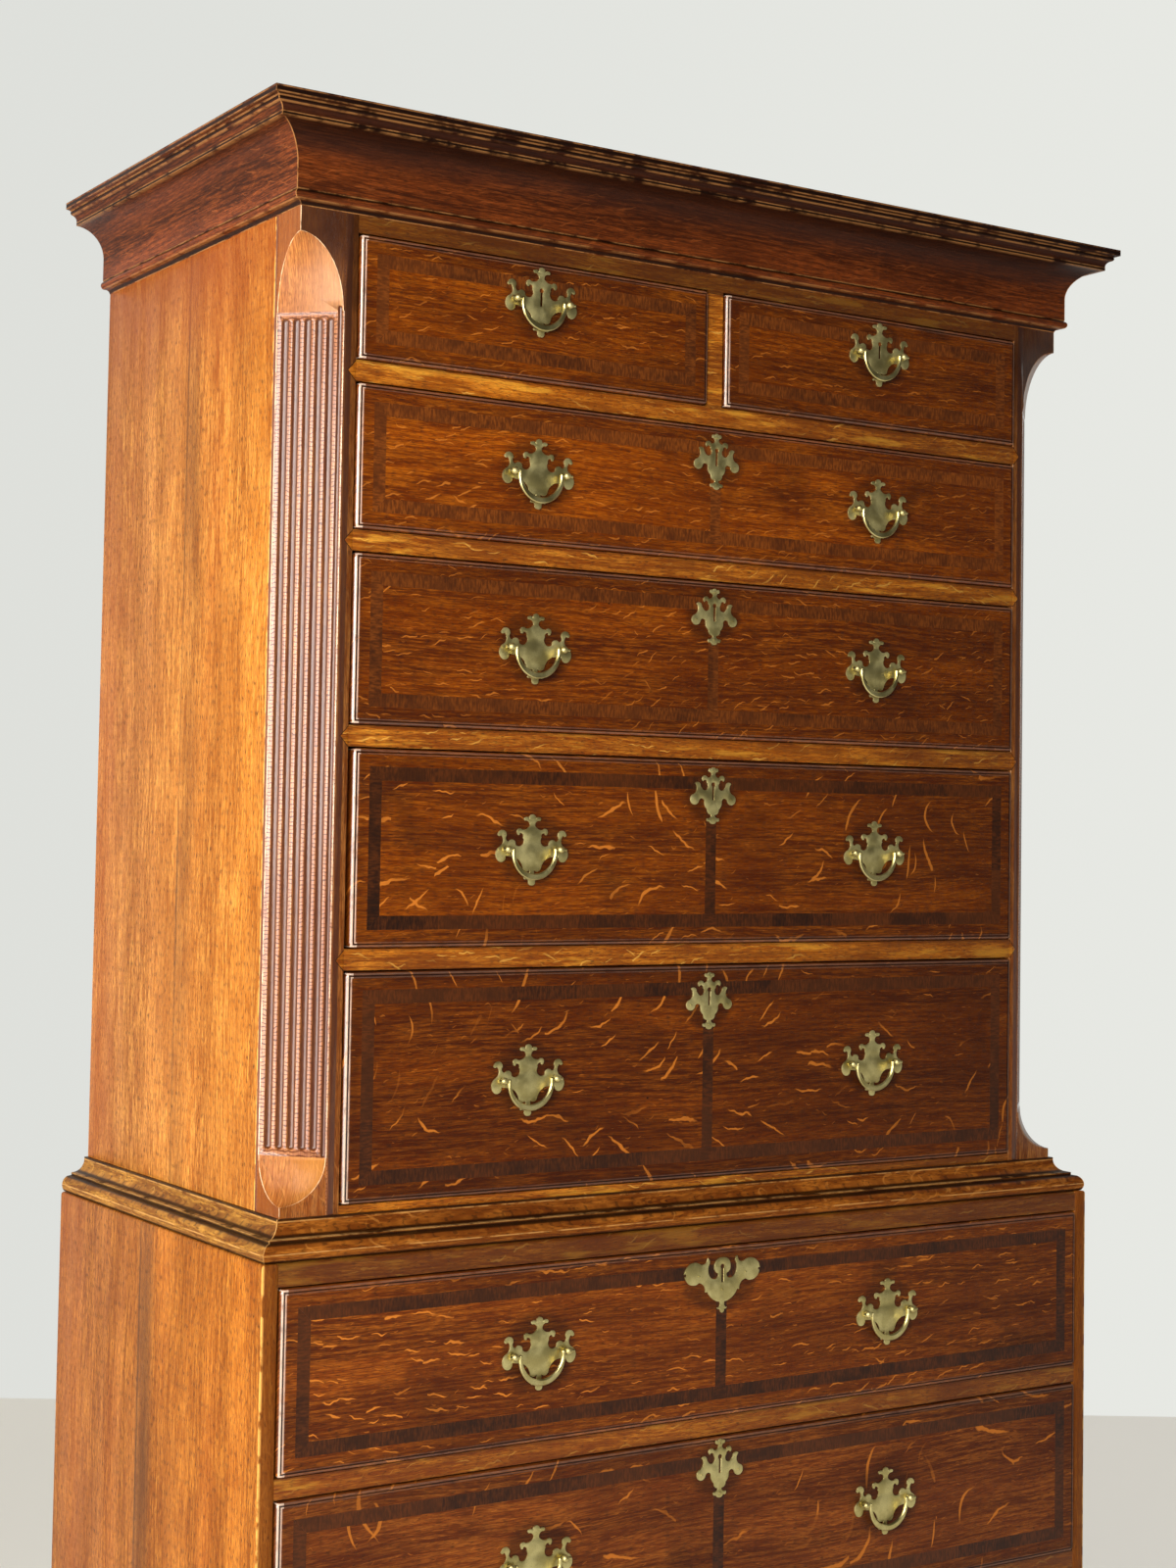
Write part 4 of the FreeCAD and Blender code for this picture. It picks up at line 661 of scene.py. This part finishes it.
def moulding_material(
        name, half, front, tones, lit_side_tones, wear_and_highlight_levels, dirt_and_shade_levels, wear_and_highlight_tone,
        cove_shade_levels=None):
    """Moulded oak, its grain along each length, so that it turns the corner at the mitre.

    Tones run from deep to fleck, on the front and on the returns, whose tones are painted
    lighter as painted light.  The pale lines (wear and painted highlight) and the dark lines
    (dirt and painted shade) lie at the given heights, and painted shade grows between the two
    cove shade heights.
    """
    material, tree, shader = blank_material(name)
    place = add(tree, "TexCoord").outputs["Object"]
    apart = add(tree, "SeparateXYZ", {"Vector": place}).outputs
    beside = maths(tree, "SUBTRACT", maths(tree, "ABSOLUTE", apart["X"]), half)
    before = maths(tree, "SUBTRACT", front, apart["Y"])
    on_side = maths(tree, "MULTIPLY", maths(tree, "GREATER_THAN", beside, before),
                    maths(tree, "LESS_THAN", apart["Y"], rear - 0.0002))
    along = add(tree, "Mix", {0: on_side, 2: apart["X"], 3: apart["Y"]}).outputs[0]
    outward = maths(tree, "MAXIMUM", maths(tree, "MAXIMUM", beside, before), 0.0)
    across = maths(tree, "ADD", outward, apart["Z"])
    unrolled = add(tree, "CombineXYZ", {"X": along, "Z": across}).outputs[0]
    # Painted light: the returns' tones are lighter than the front's.
    tone = [
        mixed(tree, on_side, shade(front_tone), shade(side_tone))
        for front_tone, side_tone in zip(tones, lit_side_tones)]
    figure = place_group(tree, oak, {
        "Place": unrolled, "Deep": tone[0], "Middle": tone[1], "Light": tone[2],
        "Fleck": tone[3], "Fleck Share": 0.3, "Pores": 0.5})

    def near(levels, low, high):
        """How near a point is to any of some heights: 1 at one of them."""
        gap = 1.0
        for spot in levels:
            gap = maths(tree, "MINIMUM", gap, maths(
                tree, "ABSOLUTE", maths(tree, "SUBTRACT", apart["Z"], spot)))
        return between(tree, gap, low, high, 1, 0)

    rubbed = between(tree, noise(tree, place, 35.0, 4.0, 0.65), 0.38, 0.56)
    colour = figure["Color"]
    # Painted shade: the top of the cove is darkened, less on the returns.
    if cove_shade_levels:
        cove_shade = noise(tree, stretched(tree, unrolled, (4, 1, 30)), 1.0, 3.0)
        cove_shade = maths(tree, "MULTIPLY_ADD", cove_shade, 0.03, -0.015)
        cove_shade = maths(tree, "ADD", apart["Z"], cove_shade)
        cove_shade = maths(tree, "MULTIPLY", between(tree, cove_shade, cove_shade_levels[0], cove_shade_levels[1], 0, 0.82),
                      maths(tree, "SUBTRACT", 1.0, maths(tree, "MULTIPLY", on_side, 0.6)))
        colour = mixed(tree, cove_shade, colour, shade(cove_shade_black))
    # Dark lines in the quirks and under the fillets: dirt and painted shade.
    dirt_and_shade = maths(tree, "MULTIPLY", near(dirt_and_shade_levels, 0.0008, 0.0026), 0.88)
    colour = mixed(tree, dirt_and_shade, colour, shade(quirk_dirt_and_shade))
    # Pale lines on the arrises and the mitre: wear and painted highlights.
    mitre = maths(tree, "ABSOLUTE", maths(tree, "SUBTRACT", beside, before))
    edge = maths(tree, "MULTIPLY", near(wear_and_highlight_levels, 0.0003, 0.0009), 0.5)
    edge = maths(tree, "MAXIMUM", edge, between(tree, mitre, 0.0004, 0.001, 0.8, 0))
    edge = maths(tree, "MULTIPLY", edge, rubbed)
    colour = mixed(tree, edge, colour, shade(wear_and_highlight_tone))
    wax(tree, shader, colour, figure["Height"], figure["Roughness"], coat=0.0, gloss=0.1)
    return material


def levels(base, *heights):
    """Heights over the bottom of a moulding, in millimetres, as places in the frame."""
    return [base + height / 1000 for height in heights]


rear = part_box("cornice")[1][1]
cornice_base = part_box("cornice")[0][2]
waist_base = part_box("waist_moulding")[0][2]
foot_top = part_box("base_moulding")[0][2]
dress("cornice", moulding_material(
    "cornice_oak", upper_half, upper_front,
    tones=((60, 25, 9), (102, 46, 17), (142, 70, 27), (162, 88, 40)),
    lit_side_tones=((58, 24, 8), (118, 52, 18), (162, 82, 34), (178, 100, 50)),
    wear_and_highlight_levels=levels(cornice_base, 0.4, 5.0, 14.4, 74.8, 78.0, 86.0, 90.4, 92.4, 97.9),
    dirt_and_shade_levels=levels(cornice_base, 2.4, 13.2, 76.4, 88.6, 95.0),
    wear_and_highlight_tone=(190, 132, 76), cove_shade_levels=levels(cornice_base, 36.0, 70.0)))
dress("waist_moulding", moulding_material(
    "waist_oak", upper_half, upper_front,
    tones=((104, 50, 12), (150, 82, 22), (188, 114, 38), (214, 142, 62)),
    lit_side_tones=((112, 64, 16), (168, 108, 34), (206, 148, 60), (226, 170, 84)),
    wear_and_highlight_levels=levels(waist_base, 8.0, 20.4, 34.8),
    dirt_and_shade_levels=levels(waist_base, 0.6, 17.6, 21.4, 37.2), wear_and_highlight_tone=(228, 172, 100)))
foot_oak = moulding_material(
    "base_oak", lower_half, lower_front,
    tones=((78, 36, 10), (118, 60, 20), (156, 90, 34), (182, 112, 54)),
    lit_side_tones=((98, 48, 16), (140, 76, 28), (176, 106, 46), (198, 130, 66)),
    wear_and_highlight_levels=levels(foot_top, 9.6, 22.2), dirt_and_shade_levels=levels(foot_top, 0.4, 21.0, 25.8),
    wear_and_highlight_tone=(204, 146, 84))
dress("base_moulding", foot_oak)
dress("bracket_feet", foot_oak)


# ---------------------------------------------------------------- linings
# Tops, bottoms, backs and runners: dry, unpolished oak, sawn and left plain, and nailed or
# let in between the sides.  The grain runs across, from front to back, or upright.
lining_tones = ((114, 84, 52), (150, 115, 76), (180, 145, 102))
lining_fleck = (188, 162, 124)


def lining_material(name, turn):
    """Dry oak, its grain turned to run along the board."""
    material, tree, shader = blank_material(name)
    place = add(tree, "TexCoord").outputs["Object"]
    figure = place_group(tree, oak, {
        "Place": stretched(tree, place, (1, 1, 1), turn),
        "Deep": shade(lining_tones[0]), "Middle": shade(lining_tones[1]),
        "Light": shade(lining_tones[2]), "Fleck": shade(lining_fleck),
        "Fleck Share": 0.3, "Pores": 0.6})
    tree.links.new(figure["Color"], shader.inputs["Base Color"])
    shader.inputs["Roughness"].default_value = 0.8
    bump = add(tree, "Bump", {"Height": figure["Height"], "Distance": 0.0003, "Strength": 0.8})
    tree.links.new(bump.outputs["Normal"], shader.inputs["Normal"])
    return material


flat_lining = lining_material("lining_oak_flat", (0, 0, 0))
deep_lining = lining_material("lining_oak_deep", (0, 0, math.pi / 2))
upright_lining = lining_material("lining_oak_upright", upright)
for name in ("lower_top", "lower_bottom", "upper_top", "upper_bottom"):
    dress(name, flat_lining)
for name in ("lower_runners", "upper_runners"):
    dress(name, deep_lining)
for name in ("lower_back", "upper_back"):
    dress(name, upright_lining)


# ---------------------------------------------------------------- drawers
# Red-brown quarter-sawn oak fronts, a rounded edge worked all round, on dry oak boxes.  Wax
# and dirt have gathered in the step beside the edge, with painted shade there, and round the
# brasses; painted shade darkens most fronts towards the right, painted highlights run along the
# left edges, and beetles have left a few small holes.
def edge_distance():
    """How far a point of an upright panel is from its edges, across and upwards."""
    tree, given, result = group_of(
        "edge_distance",
        [("Place", "Vector", (0, 0, 0)), ("Middle", "Vector", (0, 0, 0)),
         ("Half", "Vector", (0, 0, 0))],
        [("Across", "Float"), ("Upwards", "Float"), ("Nearest", "Float")])
    away = add(tree, "VectorMath", {
        0: given["Place"], 1: given["Middle"]}, operation="SUBTRACT")
    away = add(tree, "VectorMath", {0: away.outputs[0]}, operation="ABSOLUTE")
    left = add(tree, "VectorMath", {0: given["Half"], 1: away.outputs[0]}, operation="SUBTRACT")
    apart = add(tree, "SeparateXYZ", {"Vector": left.outputs[0]}).outputs
    tree.links.new(apart["X"], result["Across"])
    tree.links.new(apart["Z"], result["Upwards"])
    tree.links.new(maths(tree, "MINIMUM", apart["X"], apart["Z"]), result["Nearest"])
    return tree


panel_edges = edge_distance()

# The foot of a front lies a little over the foot of its drawer's sides.
front_lift = 0.0008
front_depth = 0.016
back_depth = 0.0098
groove_edge = 0.0038
left_rim = 0.008

# How far the flecks of a front lean, how large they are, how plain they show, and what its
# red, green and blue are multiplied by.
front_looks = {
    "upper_short_left": (0.2, 0.8, 0.6, (0.95, 0.9, 0.7)),
    "upper_short_right": (0.15, 0.8, 0.5, (0.9, 0.85, 0.7)),
    "upper_long_1": (0.3, 0.8, 0.6, (1.25, 1.2, 0.9)),
    "upper_long_2": (0.4, 0.8, 0.6, (0.95, 0.9, 0.8)),
    "upper_long_3": (1.0, 1.7, 0.85, (0.95, 0.92, 0.8)),
    "upper_long_4": (0.75, 1.6, 0.8, (0.72, 0.68, 0.8)),
    "lower_long_1": (0.14, 1.0, 1.0, (1.05, 1.08, 1.8)),
    "lower_long_2": (1.1, 2.1, 0.75, (0.98, 1.08, 2.8)),
    "lower_long_3": (0.5, 1.3, 0.8, (0.95, 1.0, 2.0)),
}


def panel_of(name):
    """Middle and half size of a drawer's front, and its front face, from its node."""
    low, high = (Vector(corner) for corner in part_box(name + "_drawer"))
    low.z += front_lift
    return (low + high) / 2, (high - low) / 2, low.y


handle_plate = (0.043, 0.037)
bail_rise = 0.002
key_plate = (0.034, 0.031)
eared_plate = (0.048, 0.031)
front_tones = ((84, 33, 4), (134, 62, 8), (170, 93, 17))
front_fleck = (208, 122, 42)
wax_dirt_and_shade = (38, 16, 6)
beetle_hole = (14, 7, 4)
edge_highlight = (242, 212, 188)
groove_dirt_and_shade = (22, 10, 5)
box_tones = ((118, 86, 54), (156, 120, 80), (184, 148, 104))
box_fleck = (190, 160, 118)


def brass_spots(name):
    """Middle and half size of each plate on a drawer's front."""
    spots = []
    for node in sorted(nodes):
        if node.startswith(name + "_bail"):
            low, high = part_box(node)
            spots.append(((low[0] + high[0]) / 2, high[2] - bail_rise) + handle_plate)
    if "long" in name:
        low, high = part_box(name + "_brasses")
        plate = eared_plate if name == "lower_long_1" else key_plate
        spots.append(((low[0] + high[0]) / 2, high[2] - plate[1]) + plate)
    return spots


def front_material(name):
    """A front's oak: painted highlights, dirt, painted shade, stains, holes; dry oak behind it.
    """
    material, tree, shader = blank_material(name + "_oak")
    middle, half, face = panel_of(name)
    place = add(tree, "TexCoord").outputs["Object"]
    apart = add(tree, "SeparateXYZ", {"Vector": place}).outputs
    edges = place_group(tree, panel_edges, {"Place": place, "Middle": middle, "Half": half})
    shift = (middle.z * 3.7, 0, middle.x)
    slant, size, share, tint = front_looks[name]
    deep, middling, light = (
        tuple(part * much for part, much in zip(shade(tone), tint)) + (1,)
        for tone in front_tones)
    figure = place_group(tree, oak, {
        "Place": stretched(tree, place, (1, 1, 1), (0, 0, 0), shift),
        "Deep": deep, "Middle": middling, "Light": light, "Fleck": shade(front_fleck),
        "Fleck Share": share, "Fleck Slant": slant, "Fleck Size": size, "Pores": 0.5})
    uneven = noise(tree, place, 28.0, 3.0)
    colour = figure["Color"]
    reach = maths(tree, "MULTIPLY_ADD", uneven, 0.05, -0.012)
    dirt_and_shade = maths(tree, "SUBTRACT", edges["Nearest"], reach)
    dirt_and_shade = between(tree, dirt_and_shade, -0.004, 0.016, 0.3, 0)
    stain_and_shade = between(tree, noise(tree, place, 9.0, 4.0, 0.6), 0.54, 0.72, 0, 0.4)
    # Painted shade: most fronts are darkened towards the right.
    if name not in ("lower_long_2", "lower_long_3"):
        stain_and_shade = maths(tree, "ADD", stain_and_shade, between(tree, apart["X"], -0.1, 0.42, 0, 0.3))
    dirt_and_shade = maths(tree, "MAXIMUM", dirt_and_shade, stain_and_shade)
    for x, z, wide, tall in brass_spots(name):
        off = add(tree, "VectorMath", {0: place, 1: (x, face, z)}, operation="SUBTRACT")
        off = add(tree, "VectorMath", {
            0: off.outputs[0], 1: (1 / wide, 1, 1 / tall)}, operation="MULTIPLY")
        off = add(tree, "VectorMath", {0: off.outputs[0]}, operation="LENGTH").outputs["Value"]
        off = maths(tree, "MULTIPLY_ADD", uneven, 0.5, off)
        dirt_and_shade = maths(tree, "MAXIMUM", dirt_and_shade, between(tree, off, 1.05, 1.5, 0.6, 0))
    colour = mixed(tree, dirt_and_shade, colour, shade(wax_dirt_and_shade))
    holes = add(tree, "TexVoronoi", {"Vector": place, "Scale": 22.0}).outputs
    pick = add(tree, "TexWhiteNoise", {"Vector": holes["Position"]}).outputs["Value"]
    hole = maths(tree, "MULTIPLY", between(tree, holes["Distance"], 0.022, 0.034, 0.9, 0),
                 maths(tree, "LESS_THAN", pick, 0.35))
    colour = mixed(tree, hole, colour, shade(beetle_hole))
    # Painted highlights along the rounded edge, strong on the left edges and faint on the rest.
    left_edge = maths(tree, "SUBTRACT", apart["X"], middle.x - half.x)
    on_left = maths(tree, "LESS_THAN", left_edge, left_rim)
    rubbed = between(tree, noise(tree, place, 70.0, 3.0), 0.3, 0.5, 0.5, 1.0)
    rubbed = maths(tree, "MULTIPLY", rubbed, maths(tree, "MULTIPLY_ADD", on_left, 0.7, 0.08))
    # The dark line in the step beside the edge is dirt and painted shade.
    for spot, wide, strength, tone in (
            (0.0020, 0.0012, rubbed, edge_highlight), (0.0054, 0.0007, rubbed, edge_highlight),
            (groove_edge, 0.0008, 0.9, groove_dirt_and_shade)):
        line = maths(tree, "ABSOLUTE", maths(tree, "SUBTRACT", edges["Nearest"], spot))
        line = between(tree, line, 0.5 * wide, wide, 1, 0)
        colour = mixed(tree, maths(tree, "MULTIPLY", line, strength), colour, shade(tone))
    bare = maths(tree, "GREATER_THAN", apart["Y"], face + front_depth)
    at_back = maths(tree, "GREATER_THAN", apart["Y"], middle.y + half.y - back_depth)
    board = add(tree, "Mix", {
        0: at_back, 4: stretched(tree, place, (1, 1, 1), (0, 0, math.pi / 2), shift),
        5: place}, data_type="VECTOR").outputs[1]
    inside = place_group(tree, oak, {
        "Place": board,
        "Deep": shade(box_tones[0]), "Middle": shade(box_tones[1]),
        "Light": shade(box_tones[2]), "Fleck": shade(box_fleck),
        "Fleck Share": 0.3, "Pores": 0.5})
    colour = mixed(tree, bare, colour, inside["Color"])
    dull = maths(tree, "MAXIMUM", figure["Roughness"], maths(tree, "MULTIPLY", bare, 0.8))
    polished = between(tree, edges["Nearest"], 0.005, 0.0065, 1, 0.03)
    brighter = maths(tree, "MULTIPLY_ADD", on_left, 0.62, 0.05)
    polished = maths(tree, "MULTIPLY", polished, brighter)
    polished = maths(tree, "MULTIPLY", polished, maths(tree, "SUBTRACT", 1.0, bare))
    wax(tree, shader, colour, figure["Height"], dull, coat=polished, gloss=0.16)
    shader.inputs["Coat IOR"].default_value = 2.0
    shader.inputs["Coat Roughness"].default_value = 0.12
    return material


drawers = [name[:-len("_drawer")] for name in sorted(nodes) if name.endswith("_drawer")]
for name in drawers:
    dress(name + "_drawer", front_material(name))


# ---------------------------------------------------------------- crossbanding
# Brown mahogany veneer, laid across its grain in short lengths, mitred at the corners, and
# glued in a shallow bed.  Light has faded the topmost drawers' bands towards the oak.
centre_band_half = 0.008
strip_length = 0.085
faded = {
    "upper_short_left": 0.6, "upper_short_right": 0.6, "upper_long_1": 0.8,
    "upper_long_2": 0.5,
}
fresh_and_faded = (
    ((42, 18, 4), (88, 40, 8)), ((76, 36, 9), (134, 70, 18)), ((22, 9, 3), (68, 30, 8)))
strip_red = (130, 66, 18)


def band_material(name):
    """Cross-grained mahogany, which changes from strip to strip."""
    material, tree, shader = blank_material(name + "_mahogany")
    middle, half, _ = panel_of(name)
    place = add(tree, "TexCoord").outputs["Object"]
    apart = add(tree, "SeparateXYZ", {"Vector": place}).outputs
    edges = place_group(tree, panel_edges, {"Place": place, "Middle": middle, "Half": half})
    upright_strip = maths(tree, "LESS_THAN", edges["Across"], edges["Upwards"])
    centre = maths(tree, "ABSOLUTE", apart["X"])
    upright_strip = maths(
        tree, "MAXIMUM", upright_strip, maths(
            tree, "LESS_THAN", centre, centre_band_half))
    across = add(tree, "Mix", {
        0: upright_strip, 4: stretched(tree, place, (1, 1, 1), upright), 5: place,
    }, data_type="VECTOR")
    grain = noise(tree, stretched(tree, across.outputs[1], (110, 420, 420)), 1.0)
    blotch = noise(tree, place, 38.0, 4.0, 0.65)
    strip = add(tree, "VectorMath", {
        0: place, 1: (strip_length, 1.0, strip_length)}, operation="SNAP")
    tone = add(tree, "TexWhiteNoise", {"Vector": strip.outputs[0]}).outputs["Value"]
    fade = faded.get(name, 0.0)
    deep, light, blot = (
        Vector(shade(fresh)).lerp(Vector(shade(bleached)), fade)
        for fresh, bleached in fresh_and_faded)
    colour = mixed(tree, between(tree, grain, 0.35, 0.65), deep, light)
    colour = mixed(tree, between(tree, blotch, 0.44, 0.62, 0, 0.6), colour, blot)
    colour = mixed(tree, maths(tree, "MULTIPLY", tone, 0.18), colour, shade(strip_red))
    wax(tree, shader, colour, grain, 0.42, 0.0001)
    return material


for name in drawers:
    dress(name + "_crossband", band_material(name))


# ---------------------------------------------------------------- brasses
# Cast and filed plates with bevelled rims, held by turned posts through the front and square
# nuts behind it, and keyhole plates held by small nails.  The bails swing in the posts, and
# hands have kept them brighter than the plates.
rim = 0.0003
plate_thickness = 0.0015
on_plane = 1e-4
brass_tones = ((192, 178, 116), (224, 212, 150))
tarnish = (128, 112, 62)


def brass_material(name, bright):
    """Old yellow brass; bright is its least roughness."""
    material, tree, shader = blank_material(name)
    place = add(tree, "TexCoord").outputs["Object"]
    cloud = noise(tree, place, 60.0, 3.0)
    fine = noise(tree, place, 900.0, 2.0)
    colour = mixed(tree, between(tree, cloud, 0.35, 0.65), shade(brass_tones[0]),
                   shade(brass_tones[1]))
    colour = mixed(tree, between(tree, fine, 0.55, 0.7, 0, 0.35), colour, shade(tarnish))
    tree.links.new(colour, shader.inputs["Base Color"])
    shader.inputs["Metallic"].default_value = 1.0
    dull = between(tree, cloud, 0.3, 0.7, bright, bright + 0.14)
    tree.links.new(dull, shader.inputs["Roughness"])
    bump = add(tree, "Bump", {"Height": cloud, "Distance": 0.0004, "Strength": 0.5})
    tree.links.new(bump.outputs["Normal"], shader.inputs["Normal"])
    return material


plate_brass = brass_material("plate_brass", 0.42)
bail_brass = brass_material("bail_brass", 0.28)
for name in drawers:
    face = panel_of(name)[2] - plate_thickness

    def on_face(edge, face=face):
        """Whether an edge lies in the front face of the plates."""
        return all(abs(corner.co.y - face) < on_plane for corner in edge.verts)

    softened(
        name + "_brasses", name + "_plates_and_posts", rim, 60, plate_brass, name,
        on_face)

for name in [node for node in sorted(nodes) if "_bail" in node]:
    dress(name, bail_brass)
